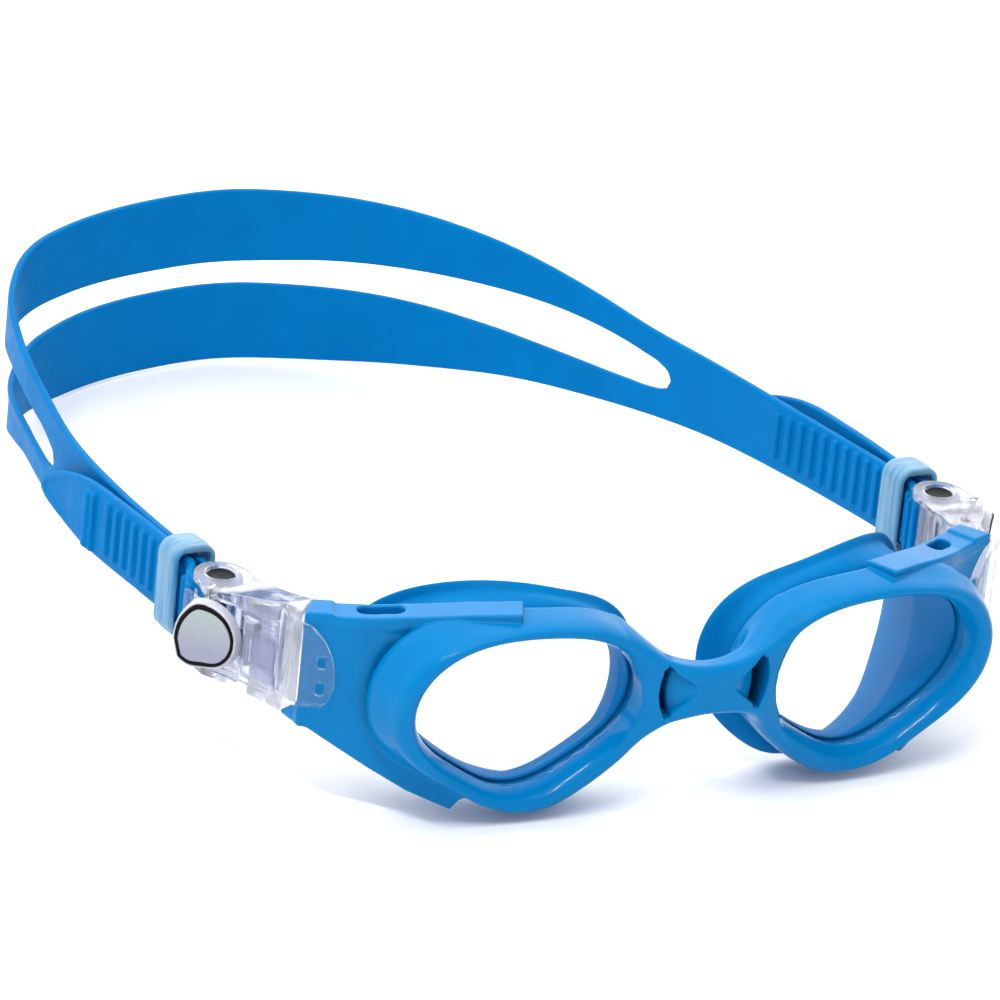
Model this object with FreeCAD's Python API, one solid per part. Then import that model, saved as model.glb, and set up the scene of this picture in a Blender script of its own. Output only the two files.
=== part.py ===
"""Child's swim goggles: soft one-piece frame, clear lenses, face seals and a split rubber strap.

The strap's two ends fold round rollers in clear side buckles, where a sprung lever's tooth holds their
ribs, and a rubber keeper holds each loose tail.  The frame, buckles and strap ends are drawn on the
right-hand side (+X) and mirrored; the strap's loop and the keepers' places differ between the sides.
While it is drawn, the origin is midway between the tops of the two strap rollers, with -Y towards the
front.  At the end the whole set is moved so that the origin is the middle of its base.
"""
import FreeCAD
import Part
import math
import os

Vector = FreeCAD.Vector

# ---- driving dimensions, millimetres and degrees ---------------------------------------------------
EYE = Vector(31.7, -41.6, -9.7)      # middle of the right lens's front face
LENS_WRAP = 3.1                      # outer side of the lens turned back
LENS_RAKE = 5.0                      # top of the lens leaning forward
LENS_THICKNESS = 1.6
LENS_EDGE = 0.9                      # how far the lens runs on behind the frame's lip
FIT_GAP = 0.1                        # lens to its seat

RING_FRONT = 3.4                     # crest of the ring in front of the lens
RING_OUTER = 4.9                     # ring's outer edge outside the lens edge
RING_FOOT_TRIM = 1.7                 # the ring is narrower low on the temple side
RING_FOOT_ANGLE = -1.15              # direction of its narrowest place, radians from the temple side

BRIDGE_HALF = 11.5                   # bridge runs this far each side of the middle
RECESS_APEX_X = 3.6                  # three-sided recess, from its point to the slot beside the ring
RECESS_SLOT_X = 8.6
SLOT_WIDTH = 1.3

WING_FRONT_END = Vector(34.2, -43.3, 0)
WING_REAR_END = Vector(65.1, -28.1, 0)
WING_DEPTH = 6.0                     # width of the ledge on top of the wing
WING_SKIN = 2.0
POCKET = Vector(53.6, -29.0, 2.0)    # oblong pocket in the ledge
POCKET_SIZE = Vector(7.6, 3.4, 6.0)
SEAL_CLEARANCE = 0.6                 # face seal to the wing's inner side

ROLLER = Vector(68.0, 0.0, 0.0)      # axis of the strap roller, at its top end
ROLLER_RADIUS = 2.4
ROLLER_LENGTH = 14.2
BOSS_RADIUS = 4.9
RUN_GAP = 0.05                       # running clearance of pins and rollers

BODY_TOP = 0.3                       # top of the buckle over the roller
BODY_BOTTOM = -14.9
PLATE_TOP = -0.9                     # underside of the top plate
PLATE_BOTTOM = -13.5                 # upper face of the bottom plate

PAD_CENTRE = Vector(74.5, -8.3, -7.1)
PAD_TURN = 54.4                      # direction of the pad's face in plan, from +X
PAD_RADIUS = 5.4
PAD_THICK = 2.2
PAD_TRAVEL_ROOM = 1.8
BADGE_THICK = 0.6
LEVER_PIN = Vector(72.0, -5.0, 0.0)
LEVER_PIN_RADIUS = 0.6
LEVER_HUB_RADIUS = 1.3

STRAP_THICK = 1.3
STRAP_TOP = -1.1                     # strap's upper edge at the roller
STRAP_BOTTOM = -13.3
STRAP_FALL = 0.065                   # mm down per mm back, from the roller to the temples
STRAP_BACK = 146.0                   # back of the curve that the strap's right side follows
STRAP_APEX = (2.0, 146.7)            # strap's middle line at the back of the head
LOOP_START_Y = 16.0                  # the run is straight up to here
LOOP_FULLNESS = 0.526                # below 0.5 the loop would be squarer, above it rounder
LEFT_RUN_SLOPE = 0.033               # how fast the left run nears the head under its ribs
MAIN_X = 67.35                       # inner layer at the keeper
TAIL_X = 69.35                       # outer layer at the keeper
JOIN_Y = 7.5                         # both layers run straight back from here
RIB_PITCH = 3.5
RIB_WIDTH = 1.2
RIB_HEIGHT = 0.7
RIB_MARGIN = 1.0
FIRST_RIB_Y = 11.5
TAIL_RIBS = 9
RUN_RIBS = 12
STOP_RIB_INDEX = 10                  # place of the stop rib, in pitches from the first
STOP_RIB_HEIGHT = 1.2                # taller rib that stops the tail slipping through

KEEPER_Y = {"right": 10.6, "left": 12.4}     # the wearer's two keepers have slid to different places
KEEPER_LENGTH = 6.6
KEEPER_WALL = 1.6
KEEPER_EASE = 0.2                    # room over the ribs
KEEPER_EDGE_EASE = 0.35              # room over the strap's edges


# ---- geometry helpers ------------------------------------------------------------------------------
def turned(vector, axis, degrees):
    """Return the vector turned about an axis through the origin."""
    return FreeCAD.Rotation(axis, degrees).multVec(vector)


LENS_ACROSS = turned(Vector(1, 0, 0), Vector(0, 0, 1), LENS_WRAP)
LENS_UP = turned(turned(Vector(0, 0, 1), Vector(1, 0, 0), LENS_RAKE), Vector(0, 0, 1), LENS_WRAP)
LENS_FORWARD = LENS_ACROSS.cross(LENS_UP)


def lens_radius(angle):
    """Polar radius of the visible lens edge; 0 is the temple side and 90 degrees is up."""
    return (15.87 + 2.58 * math.cos(2 * angle) + 0.2 * math.sin(2 * angle)
            + 1.02 * math.sin(3 * angle) + 0.51 * math.cos(4 * angle))


def lens_point(angle, offset, forward):
    """Point at an offset outside the lens edge and a distance in front of the lens face."""
    radius = lens_radius(angle) + offset
    return (EYE + LENS_ACROSS * (radius * math.cos(angle)) + LENS_UP * (radius * math.sin(angle))
            + LENS_FORWARD * forward)


def seal_point(angle, radius, depth):
    """Point of the face seal at a radius about the eye's fore-and-aft axis."""
    return Vector(EYE.x + radius * math.cos(angle), depth, EYE.z + radius * math.sin(angle))


def rim_radius(angle):
    """Outer edge of the face seal, wider towards the nose."""
    return 20.9 - 1.9 * math.cos(angle) + 3.1 * math.cos(2 * angle)


def rim_depth(angle):
    """How far back the face seal's edge lies: it follows the cheek and temple."""
    return -26.6 + 7.3 * math.cos(angle) + 4.0 * math.cos(2 * angle)


def ring_rear(angle):
    """Back of the ring behind the lens face, deepest at the brow."""
    return -5.6 - 0.6 * math.sin(angle)


def throat_radius(angle):
    """Inner edge of the sealing face."""
    return 16.2 - 1.5 * math.cos(angle) + 1.2 * math.cos(2 * angle)


def loop_angles(count):
    """Evenly spaced angles round a closed loop."""
    return [2 * math.pi * index / count for index in range(count)]


def smooth_loop(points):
    """Closed smooth wire through the points."""
    curve = Part.BSplineCurve()
    curve.interpolate(Points=points, PeriodicFlag=True)
    return Part.Wire([curve.toShape()])


def closed_skin(rows):
    """Solid with a smooth skin that closes both round the loop and round its section."""
    rounds = len(rows)
    sides = len(rows[0])
    surface = Part.BSplineSurface()
    surface.buildFromPolesMultsKnots(
        rows, [1] * (rounds + 1), [1] * (sides + 1),
        list(range(rounds + 1)), list(range(sides + 1)), True, True, 3, 3)
    solid = Part.Solid(Part.Shell([surface.toShape()]))
    if solid.Volume < 0:
        solid.reverse()
    return solid


def lens_prism(offset, back, front):
    """Straight prism of the lens outline, grown by an offset, between two distances."""
    wire = smooth_loop([lens_point(angle, offset, back) for angle in loop_angles(36)])
    return Part.Face(wire).extrude(LENS_FORWARD * (front - back))


def plan_prism(points, bottom, top):
    """Vertical prism over a polygon drawn in plan."""
    corners = [Vector(x, y, bottom) for x, y in points]
    face = Part.Face(Part.makePolygon(corners + corners[:1]))
    return face.extrude(Vector(0, 0, top - bottom))


def side_prism(outline, half_width=90.0):
    """Prism across the goggles over a wire drawn in the side view at x = 0."""
    outline.translate(Vector(-half_width, 0, 0))
    return Part.Face(outline).extrude(Vector(2 * half_width, 0, 0))


def side_curve(points):
    """Smooth edge through (y, z) points of the side view."""
    curve = Part.BSplineCurve()
    curve.interpolate([Vector(0, y, z) for y, z in points])
    return curve.toShape()


def band_between(upper, lower):
    """Side-view wire bounded by an upper and a lower smooth edge."""
    top = side_curve(upper)
    bottom = side_curve(lower)
    ends = [Part.makeLine(Vector(0, *upper[index]), Vector(0, *lower[index])) for index in (0, -1)]
    return Part.Wire(Part.__sortEdges__([top, ends[1], bottom, ends[0]]))


def upright_cylinder(centre, radius, bottom, top):
    """Vertical cylinder between two heights."""
    return Part.makeCylinder(radius, top - bottom, Vector(centre.x, centre.y, bottom))


def mirrored(shape):
    """The same shape on the wearer's other side."""
    return shape.mirror(Vector(0, 0, 0), Vector(1, 0, 0))


# ---- frame -----------------------------------------------------------------------------------------
def ring():
    """Rounded bead round one lens; towards the temple it swells into the wing."""
    rows = []
    for angle in loop_angles(48):
        past_foot = math.degrees(math.remainder(angle - RING_FOOT_ANGLE, 2 * math.pi))
        trim = RING_FOOT_TRIM * math.exp(-(past_foot / 34.0) ** 2)
        outer = RING_OUTER - 0.6 * math.sin(angle) + 0.3 * math.cos(angle) - trim
        swell = 1.9 * max(0.0, math.cos(angle)) ** 2
        rear = ring_rear(angle)
        section = [(0.2, -0.3), (0.5, 0.7), (1.5, 2.5), (2.8, RING_FRONT + 0.5),
                   (outer - 0.8, RING_FRONT - 0.6), (outer + 0.3, 0.2), (outer + 0.4 + 0.5 * swell, -2.6),
                   (outer + swell, rear + 1.0), (outer + swell - 0.8, rear - 0.3), (3.0, rear - 0.3),
                   (0.6, rear - 0.3), (0.2, -4.0)]
        rows.append([lens_point(angle, offset, forward) for offset, forward in section])
    return closed_skin(rows)


def bridge():
    """Nose bridge: a waisted bar with a three-sided recess and a deep slot beside each ring."""
    sections = []
    for x, middle_y, middle_z, half_depth, half_height in (
            (-BRIDGE_HALF, -42.8, -7.6, 3.4, 7.6), (-6.0, -45.0, -7.2, 3.0, 5.6), (0, -45.9, -7.0, 2.6, 5.0),
            (6.0, -45.0, -7.2, 3.0, 5.6), (BRIDGE_HALF, -42.8, -7.6, 3.4, 7.6)):
        loop = []
        for angle in loop_angles(16):
            across = math.copysign(abs(math.cos(angle)) ** 0.6, math.cos(angle))
            upward = math.copysign(abs(math.sin(angle)) ** 0.6, math.sin(angle))
            loop.append(Vector(x, middle_y + half_depth * across, middle_z + half_height * upward))
        sections.append(smooth_loop(loop))
    bar = Part.makeLoft(sections, True, False)
    for side in (1, -1):
        recess = [(side * RECESS_SLOT_X, -3.0), (side * RECESS_APEX_X, -7.0), (side * RECESS_SLOT_X, -11.4)]
        corners = [Vector(x, -43.6, z) for x, z in recess]
        floor = Part.makePolygon(corners + corners[:1])
        bar = bar.cut(Part.Face(floor).extrude(Vector(0, -8, 0)))
        slot_corner = Vector(side * RECESS_SLOT_X - SLOT_WIDTH / 2, -47.0, -11.4)
        bar = bar.cut(Part.makeBox(SLOT_WIDTH, 6.0, 8.4, slot_corner))
    return bar


def wing():
    """Side wing from the ring back to the buckle, with a flat ledge on top."""
    along = (WING_REAR_END - WING_FRONT_END).normalize()
    inward = Vector(-along.y, along.x, 0)
    front_in = WING_FRONT_END + inward * WING_DEPTH
    rear_in = WING_REAR_END + Vector(-4.6, 6.0, 0)
    plan = [(WING_FRONT_END.x, WING_FRONT_END.y), (WING_REAR_END.x, WING_REAR_END.y),
            (rear_in.x, rear_in.y), (front_in.x, front_in.y)]
    block = plan_prism(plan, -30.0, 9.0)
    # the lower edge slants down to the tip under the ring, the ledge rises towards it
    profile = Part.makePolygon([Vector(0, -22.0, 4.4), Vector(0, -28.1, 4.6), Vector(0, -36.2, 5.8),
                                Vector(0, -43.4, 7.5), Vector(0, -43.4, -27.8), Vector(0, -38.8, -27.8),
                                Vector(0, -28.1, -15.2), Vector(0, -22.0, -12.4), Vector(0, -22.0, 4.4)])
    block = block.common(side_prism(profile))
    # room for the face seal, leaving a skin outside and the ledge above
    skin_line = [WING_FRONT_END + inward * WING_SKIN - along * 6.0,
                 WING_REAR_END + inward * WING_SKIN + along * 6.0]
    behind = plan_prism([(skin_line[0].x, skin_line[0].y), (skin_line[1].x, skin_line[1].y),
                         (skin_line[1].x, 5.0), (skin_line[0].x, 5.0)], -40.0, 20.0)
    outline = smooth_loop([seal_point(angle, rim_radius(angle) + SEAL_CLEARANCE, -50.0)
                           for angle in loop_angles(36)])
    seal_room = Part.Face(outline).extrude(Vector(0, 60, 0)).common(behind)
    block = block.cut(seal_room)
    block = block.cut(lens_prism(4.3, -40.0, ring_rear(0)))
    pocket = Part.makeBox(*POCKET_SIZE, Vector(-POCKET_SIZE.x / 2, -POCKET_SIZE.y / 2, 0))
    pocket = pocket.makeFillet(1.6, [edge for edge in pocket.Edges if edge.Length == POCKET_SIZE.z])
    pocket.rotate(Vector(0, 0, 0), Vector(0, 0, 1), math.degrees(math.atan2(along.y, along.x)))
    pocket.translate(POCKET)
    return block.cut(pocket)


def frame():
    """Both rings, wings and the bridge, moulded in one piece."""
    half = ring().fuse(wing())
    half = half.cut(lens_prism(LENS_EDGE + FIT_GAP, -40.0, FIT_GAP))
    half = half.cut(lens_prism(0.0, -1.0, 12.0))
    return half.fuse(mirrored(half)).fuse(bridge_between_rings())


def bridge_between_rings():
    """The bridge with its ends trimmed clear of both lens openings."""
    opening = lens_prism(LENS_EDGE + FIT_GAP, -40.0, 12.0)
    return bridge().cut(opening).cut(mirrored(opening))


# ---- lens and face seal ----------------------------------------------------------------------------
def lens():
    """Clear plate, held between the frame's lip and the face seal."""
    return lens_prism(LENS_EDGE, -LENS_THICKNESS, 0.0)


def skirt():
    """Soft seal: a thin cup from the lens back to a flared edge that lies on the face."""
    rows = []
    for angle in loop_angles(48):
        rim = rim_radius(angle)
        depth = rim_depth(angle)
        throat = throat_radius(angle)
        front = -LENS_THICKNESS - 0.2
        rear = ring_rear(angle)
        row = [lens_point(angle, 0.1, front), lens_point(angle, 0.1, -4.0),
               seal_point(angle, throat, depth - 2.6), seal_point(angle, rim - 1.6, depth - 0.2),
               seal_point(angle, rim, depth + 0.3), seal_point(angle, rim + 0.1, depth - 0.6),
               seal_point(angle, rim - 1.2, depth - 1.5),
               seal_point(angle, 0.5 * (rim + throat) + 0.4, depth - 2.6),
               lens_point(angle, 2.8, rear - 2.1), lens_point(angle, 1.9, rear - 1.4),
               lens_point(angle, 0.4, rear - 1.3), lens_point(angle, 0.5, rear + 1.5),
               lens_point(angle, 0.8, front - 1.0), lens_point(angle, 0.8, front)]
        rows.append(row)
    return closed_skin(rows)


# ---- strap -----------------------------------------------------------------------------------------
def strap_line(y):
    """Half width of the strap's loop at a distance back."""
    if y <= LOOP_START_Y:
        return MAIN_X
    share = (y - LOOP_START_Y) / (STRAP_BACK - LOOP_START_Y)
    return MAIN_X * (1 - min(share, 1.0) ** 2) ** LOOP_FULLNESS


def left_line(y):
    """Distance of the left run from the middle plane where it carries ribs."""
    return MAIN_X - LEFT_RUN_SLOPE * max(0.0, y - LOOP_START_Y)


def loop_path():
    """Middle line of the loop, from the right-hand keeper round the back to the left-hand one."""
    right = [(strap_line(y), y) for y in (16, 22, 32, 46, 62, 78, 94, 108, 120, 130, 138, 143)]
    # the loop lies a little towards the left, so that side keeps its width for longer
    left = [(-67.35, 16), (-66.9, 28), (-66.5, 42), (-66.0, 56), (-65.2, 68), (-63.6, 81), (-61.9, 93),
            (-59.7, 104), (-57.1, 113.2), (-53.9, 120), (-49.4, 126.6), (-43.4, 132.4), (-37.0, 136.6),
            (-27.0, 141.8), (-16.0, 145.2)]
    return [Vector(x, y, 0) for x, y in right + [STRAP_APEX] + left[::-1]]


def ribbon(points, start_way, end_way):
    """Upright wall of the strap's thickness along a plan curve, higher than the strap."""
    curve = Part.BSplineCurve()
    curve.interpolate(Points=points, InitialTangent=start_way, FinalTangent=end_way)
    edges = []
    count = 8 * (len(points) - 1)
    first, last = curve.FirstParameter, curve.LastParameter
    sides = {-0.5: [], 0.5: []}
    for index in range(count + 1):
        at = first + (last - first) * index / count
        point = curve.value(at)
        way = curve.tangent(at)[0]
        across = Vector(-way.y, way.x, 0).normalize()
        for share, line in sides.items():
            line.append(point + across * (share * STRAP_THICK))
    for line in sides.values():
        side = Part.BSplineCurve()
        side.interpolate(line)
        edges.append(side.toShape())
    ends = [Part.makeLine(sides[-0.5][index], sides[0.5][index]) for index in (0, -1)]
    wire = Part.Wire(Part.__sortEdges__([edges[0], ends[1], edges[1], ends[0]]))
    face = Part.Face(wire)
    face.translate(Vector(0, 0, -60))
    return face.extrude(Vector(0, 0, 90))


def falling(y, z_at_roller):
    """Height of a strap edge that falls evenly from just behind the roller."""
    return z_at_roller - STRAP_FALL * max(0.0, y - 4.0)


def half_band(wall, side, upper, lower, slit_top, slit_bottom):
    """One side of the loop, with its edges and its half of the slit drawn in the side view."""
    half = wall.common(side_prism(band_between(upper, lower)))
    half = half.common(Part.makeBox(100.0, 200.0, 120.0, Vector(0.0 if side > 0 else -100.0, 0, -60.0)))
    top = side_curve(slit_top)
    bottom = side_curve(slit_bottom)
    end = Part.makeLine(Vector(0, *slit_top[-1]), Vector(0, *slit_bottom[-1]))
    return half.cut(side_prism(Part.Wire(Part.__sortEdges__([top, end, bottom]))))


def main_band():
    """Loop round the head, split behind the temples into an upper and a lower band."""
    wall = ribbon(loop_path(), Vector(0, 1, 0), Vector(0, -1, 0))
    joint_y = LOOP_START_Y - 0.1
    start = [(joint_y, falling(joint_y, STRAP_TOP))]
    foot = [(joint_y, falling(joint_y, STRAP_BOTTOM))]
    top_back = [(150, 4.3)]
    slit_back = [(140, -8.8), (147, -10.1), (150, -10.1)], [(147, -14.5), (150, -14.5)]
    right = half_band(
        wall, 1,
        start + [(46, -4.0), (70, -4.0), (86, -3.2), (99, -1.0), (117, 2.0), (132, 3.8), (143, 4.2)] + top_back,
        foot + [(46, -16.6), (70, -18.1), (97, -21.1), (113, -23.2), (130, -26.6), (143, -29.5), (150, -30.0)],
        [(79, -11.4), (82, -9.0), (92, -7.4), (106, -6.6), (120, -7.1), (132, -8.0)] + slit_back[0],
        [(79, -11.4), (82, -13.6), (90, -14.8), (104, -15.1), (120, -14.6), (132, -14.2)] + slit_back[1])
    left = half_band(
        wall, -1,
        start + [(46, -4.0), (70, -4.0), (86, -2.3), (99, -0.6), (117, 2.0), (132, 3.9), (143, 4.2)] + top_back,
        foot + [(46, -16.8), (70, -18.2), (97, -20.2), (113, -23.4), (128, -27.5), (138, -29.6), (150, -30.0)],
        [(73, -11.9), (76, -9.6), (86, -8.1), (101, -7.0), (114, -7.4), (128, -8.6)] + slit_back[0],
        [(73, -11.9), (76, -13.6), (86, -14.3), (104, -14.8), (120, -15.5), (134, -15.2)] + slit_back[1])
    return right.fuse(left)


def end_run():
    """One end of the strap: in along the head, round the roller's front and back as the tail."""
    half = STRAP_THICK / 2
    middle = ROLLER_RADIUS + RUN_GAP + half
    lines = []
    for offset in (-half, half):
        radius = middle - offset
        start = Vector(MAIN_X + offset, LOOP_START_Y, 0)
        straight = Vector(MAIN_X + offset, JOIN_Y, 0)
        inner = Vector(ROLLER.x - radius, 0.5, 0)
        front = Vector(ROLLER.x, -radius, 0)
        outer = Vector(ROLLER.x + radius, 0.5, 0)
        join = Vector(TAIL_X - offset, JOIN_Y, 0)
        flare = Vector(TAIL_X + 0.2 - offset, 46.0, 0)
        tip = Vector(TAIL_X - 0.5 - offset, 72.0, 0)
        near = Part.BSplineCurve()
        near.interpolate(Points=[straight, inner], InitialTangent=Vector(0, -9, 0),
                         FinalTangent=Vector(0, -9, 0))
        bend = Part.Arc(Vector(inner.x, 0, 0), front, Vector(outer.x, 0, 0))
        away = Part.BSplineCurve()
        away.interpolate(Points=[outer, join], InitialTangent=Vector(0, 9, 0), FinalTangent=Vector(0, 9, 0))
        tail = Part.BSplineCurve()
        tail.interpolate(Points=[join, flare, tip], InitialTangent=Vector(0, 30, 0),
                         FinalTangent=Vector(-0.8, 30, 0))
        lines.append([Part.makeLine(start, straight), near.toShape(),
                      Part.makeLine(inner, Vector(inner.x, 0, 0)), bend.toShape(),
                      Part.makeLine(Vector(outer.x, 0, 0), outer), away.toShape(), tail.toShape()])
    caps = [Part.makeLine(Vector(MAIN_X - half, LOOP_START_Y, 0), Vector(MAIN_X + half, LOOP_START_Y, 0)),
            Part.makeLine(lines[0][-1].Vertexes[-1].Point, lines[1][-1].Vertexes[-1].Point)]
    wire = Part.Wire(Part.__sortEdges__(lines[0] + lines[1] + caps))
    face = Part.Face(wire)
    face.translate(Vector(0, 0, -30))
    wall = face.extrude(Vector(0, 0, 60))
    return wall.common(side_prism(end_profile()))


def end_profile():
    """Side view of the strap's end: level to the roller, falling back to the tail's tapered round tip."""
    top = [Vector(0, -9, STRAP_TOP), Vector(0, 4, STRAP_TOP), Vector(0, 38, falling(38, STRAP_TOP))]
    bottom = [Vector(0, -9, STRAP_BOTTOM), Vector(0, 4, STRAP_BOTTOM), Vector(0, 42, falling(42, STRAP_BOTTOM))]
    taper = [(48, -4.2), (56, -6.0), (63, -8.7), (67.6, -11.4), (68.6, -13.3), (66.5, -14.7), (60, -15.6),
             (50, -16.0)]
    nose = Part.BSplineCurve()
    nose.interpolate([top[2]] + [Vector(0, y, z) for y, z in taper] + [bottom[2]])
    edges = [Part.makeLine(top[0], top[1]), Part.makeLine(top[1], top[2]), nose.toShape(),
             Part.makeLine(bottom[2], bottom[1]), Part.makeLine(bottom[1], bottom[0]),
             Part.makeLine(bottom[0], top[0])]
    return Part.Wire(Part.__sortEdges__(edges))


def rib(x, y, height=RIB_HEIGHT, outward=1):
    """One cross rib standing on a strap face."""
    low = falling(y, STRAP_BOTTOM) + RIB_MARGIN
    high = falling(y, STRAP_TOP) - RIB_MARGIN
    depth = height + 0.3
    corner = Vector(x - 0.3 if outward > 0 else x + 0.3 - depth, y - RIB_WIDTH / 2, low)
    return Part.makeBox(depth, RIB_WIDTH, high - low, corner)


def fold_ribs():
    """Ribs that stand out round the roller, where the lever's tooth drops between two of them."""
    shapes = []
    step = math.degrees(RIB_PITCH / (ROLLER_RADIUS + STRAP_THICK))
    for index in range(4):
        block = rib(ROLLER.x + ROLLER_RADIUS + RUN_GAP + STRAP_THICK, 0.0)
        block.rotate(ROLLER, Vector(0, 0, 1), step * (0.5 - index))
        shapes.append(block)
    return shapes


def ribs(line):
    """Every rib of one strap end, with the x of its inner layer given by a function of y.

    They stand on the tail's outer face, round the fold and on the face towards the head.
    """
    half = STRAP_THICK / 2
    shapes = fold_ribs()
    rib_ys = [FIRST_RIB_Y + RIB_PITCH * index for index in range(RUN_RIBS)]
    shapes += [rib(TAIL_X + half, y) for y in rib_ys[:TAIL_RIBS]]
    shapes += [rib(line(y) - half, y, RIB_HEIGHT, -1) for y in rib_ys]
    shapes.append(rib(TAIL_X + half, rib_ys[STOP_RIB_INDEX], STOP_RIB_HEIGHT))
    return shapes


def strap():
    """The whole strap, one soft piece."""
    end = end_run()
    band = main_band().fuse(end).fuse(mirrored(end))
    every_rib = ribs(strap_line) + [mirrored(shape) for shape in ribs(left_line)]
    return band.multiFuse(every_rib).removeSplitter()


# ---- buckle ----------------------------------------------------------------------------------------
def pad_axes():
    """Directions along the pad and out of its face."""
    along = Vector(math.cos(math.radians(PAD_TURN)), math.sin(math.radians(PAD_TURN)), 0)
    return along, Vector(along.y, -along.x, 0)


def pad_prism(grow, near, far):
    """Rounded three-cornered pad between two distances from its outer face."""
    along, out = pad_axes()
    loop = []
    for angle in loop_angles(24):
        radius = PAD_RADIUS + grow + 0.35 * math.cos(3 * angle + math.radians(70)) + 0.3 * math.sin(angle)
        loop.append(PAD_CENTRE + along * (radius * math.cos(angle)) + Vector(0, 0, radius * math.sin(angle))
                    + out * near)
    return Part.Face(smooth_loop(loop)).extrude(out * (far - near))


def buckle_plan():
    """Outline of the buckle in plan."""
    return [(61.2, -22.3), (66.0, -28.4), (67.0, -21.5), (70.9, -10.5), (73.3, -6.2), (73.4, -4.0),
            (72.2, 0.0), (63.6, 0.0), (62.0, -8.0)]


def buckle_body():
    """Clear housing: plates above and below the roller, a thick front rim and a tongue on the wing."""
    block = plan_prism(buckle_plan(), -18.0, 6.0)
    block = block.fuse(upright_cylinder(ROLLER, BOSS_RADIUS, -18.0, 6.0))
    top = [(7.0, BODY_TOP), (-4.0, BODY_TOP), (-10.0, 1.2), (-18.0, 3.2), (-22.0, 4.5), (-29.0, 4.8)]
    bottom = [(7.0, BODY_BOTTOM), (-29.0, BODY_BOTTOM)]
    block = block.common(side_prism(band_between(top, bottom)))
    # strap window round the roller, open to the back
    window = upright_cylinder(ROLLER, 5.4, PLATE_BOTTOM, PLATE_TOP)
    window = window.fuse(Part.makeBox(14.0, 8.0, PLATE_TOP - PLATE_BOTTOM, Vector(62.0, 0, PLATE_BOTTOM)))
    block = block.cut(window)
    block = block.cut(lever_room())
    # hollow between the window and the front rim
    hollow = plan_prism([(63.9, -19.2), (65.4, -20.6), (68.2, -13.4), (66.2, -7.6), (64.2, -8.6)],
                        PLATE_BOTTOM + 0.4, PLATE_TOP + 0.4)
    block = block.cut(hollow)
    block = block.cut(upright_cylinder(ROLLER, ROLLER_RADIUS + RUN_GAP, -ROLLER_LENGTH - RUN_GAP, 2.0))
    block = block.cut(upright_cylinder(LEVER_PIN, LEVER_PIN_RADIUS, BODY_BOTTOM + 0.7, 2.0))
    return block.fuse(tongue())


def lever_room():
    """Pocket in the outer wall that leaves the lever free to swing."""
    along, out = pad_axes()
    inner = PAD_CENTRE - out * (PAD_THICK + PAD_TRAVEL_ROOM)
    front, rear = along * -6.4, along * 9.0
    corners = [inner + front, inner + rear, inner + rear + out * 12, inner + front + out * 12]
    room = plan_prism([(corner.x, corner.y) for corner in corners], PLATE_BOTTOM, PLATE_TOP)
    room = room.fuse(upright_cylinder(LEVER_PIN, LEVER_HUB_RADIUS + 0.5, PLATE_BOTTOM, PLATE_TOP))
    arm_room = plan_prism([(71.0, -6.5), (76.0, -7.5), (76.0, 2.5), (72.0, 2.5)], PLATE_BOTTOM, PLATE_TOP)
    return room.fuse(arm_room)


def tongue():
    """D-shaped clip that runs forward from the front rim over the wing's outer face."""
    along = (WING_REAR_END - WING_FRONT_END).normalize()
    out = Vector(along.y, -along.x, 0)
    loop = [(2.2, 3.8), (-1.4, 1.6), (-3.6, -1.8), (-4.3, -5.5), (-3.8, -9.4), (-2.6, -10.9), (2.2, -11.4)]
    points = [WING_REAR_END + along * s + Vector(0, 0, z) + out * 0.15 for s, z in loop]
    curve = Part.BSplineCurve()
    curve.interpolate(points)
    edges = [curve.toShape(), Part.makeLine(points[-1], points[0])]
    plate = Part.Face(Part.Wire(edges)).extrude(out * 1.3)
    for height in (-4.4, -9.4):
        window = Part.makeBox(1.8, 4.0, 2.4, Vector(-0.9, -2.0, 0))
        window.rotate(Vector(0, 0, 0), Vector(0, 0, 1), math.degrees(math.atan2(along.y, along.x)))
        window.translate(WING_REAR_END - along * 1.8 + Vector(0, 0, height))
        plate = plate.cut(window)
    return plate


def strap_roller():
    """Smooth roller that the strap folds round; its top end shows in the boss."""
    roller = upright_cylinder(ROLLER, ROLLER_RADIUS, -ROLLER_LENGTH, 0.0)
    return roller.makeChamfer(0.3, [edge for edge in roller.Edges if edge.Closed])


def release_lever():
    """Push pad, pivot hub and the tooth that holds the strap's ribs, in one moulding."""
    along, out = pad_axes()
    pad = pad_prism(0.0, -PAD_THICK, 0.0)
    low, high = PLATE_BOTTOM + 0.2, PLATE_TOP - 0.2
    hub = upright_cylinder(LEVER_PIN, LEVER_HUB_RADIUS, low, high)
    foot = PAD_CENTRE - out * (PAD_THICK - 0.4) + along * 1.0
    web_rear, web_front = foot + along * 2.4, foot - along * 1.6
    web = plan_prism([(LEVER_PIN.x - 0.9, LEVER_PIN.y - 0.9), (LEVER_PIN.x + 0.9, LEVER_PIN.y + 0.9),
                      (web_rear.x, web_rear.y), (web_front.x, web_front.y)], low + 2.4, high - 2.4)
    arm_line = [(LEVER_PIN.x + 0.4, -5.2), (LEVER_PIN.x + 1.3, -5.2), (74.3, -1.2), (74.1, 0.9), (72.3, 0.5),
                (72.1, 0.0), (72.3, -0.5), (73.1, -0.9), (73.0, -2.6)]
    arm = plan_prism(arm_line, low + 1.2, high - 1.2)
    lever = pad.fuse(hub).fuse(web).fuse(arm)
    lever = lever.cut(upright_cylinder(LEVER_PIN, LEVER_PIN_RADIUS + RUN_GAP, -20.0, 5.0))
    return lever.cut(pad_prism(-0.9, -BADGE_THICK + 0.1, 1.0))


def lever_pin():
    """Steel pin through both plates and the lever's hub."""
    return upright_cylinder(LEVER_PIN, LEVER_PIN_RADIUS, BODY_BOTTOM + 0.7, BODY_TOP)


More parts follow.
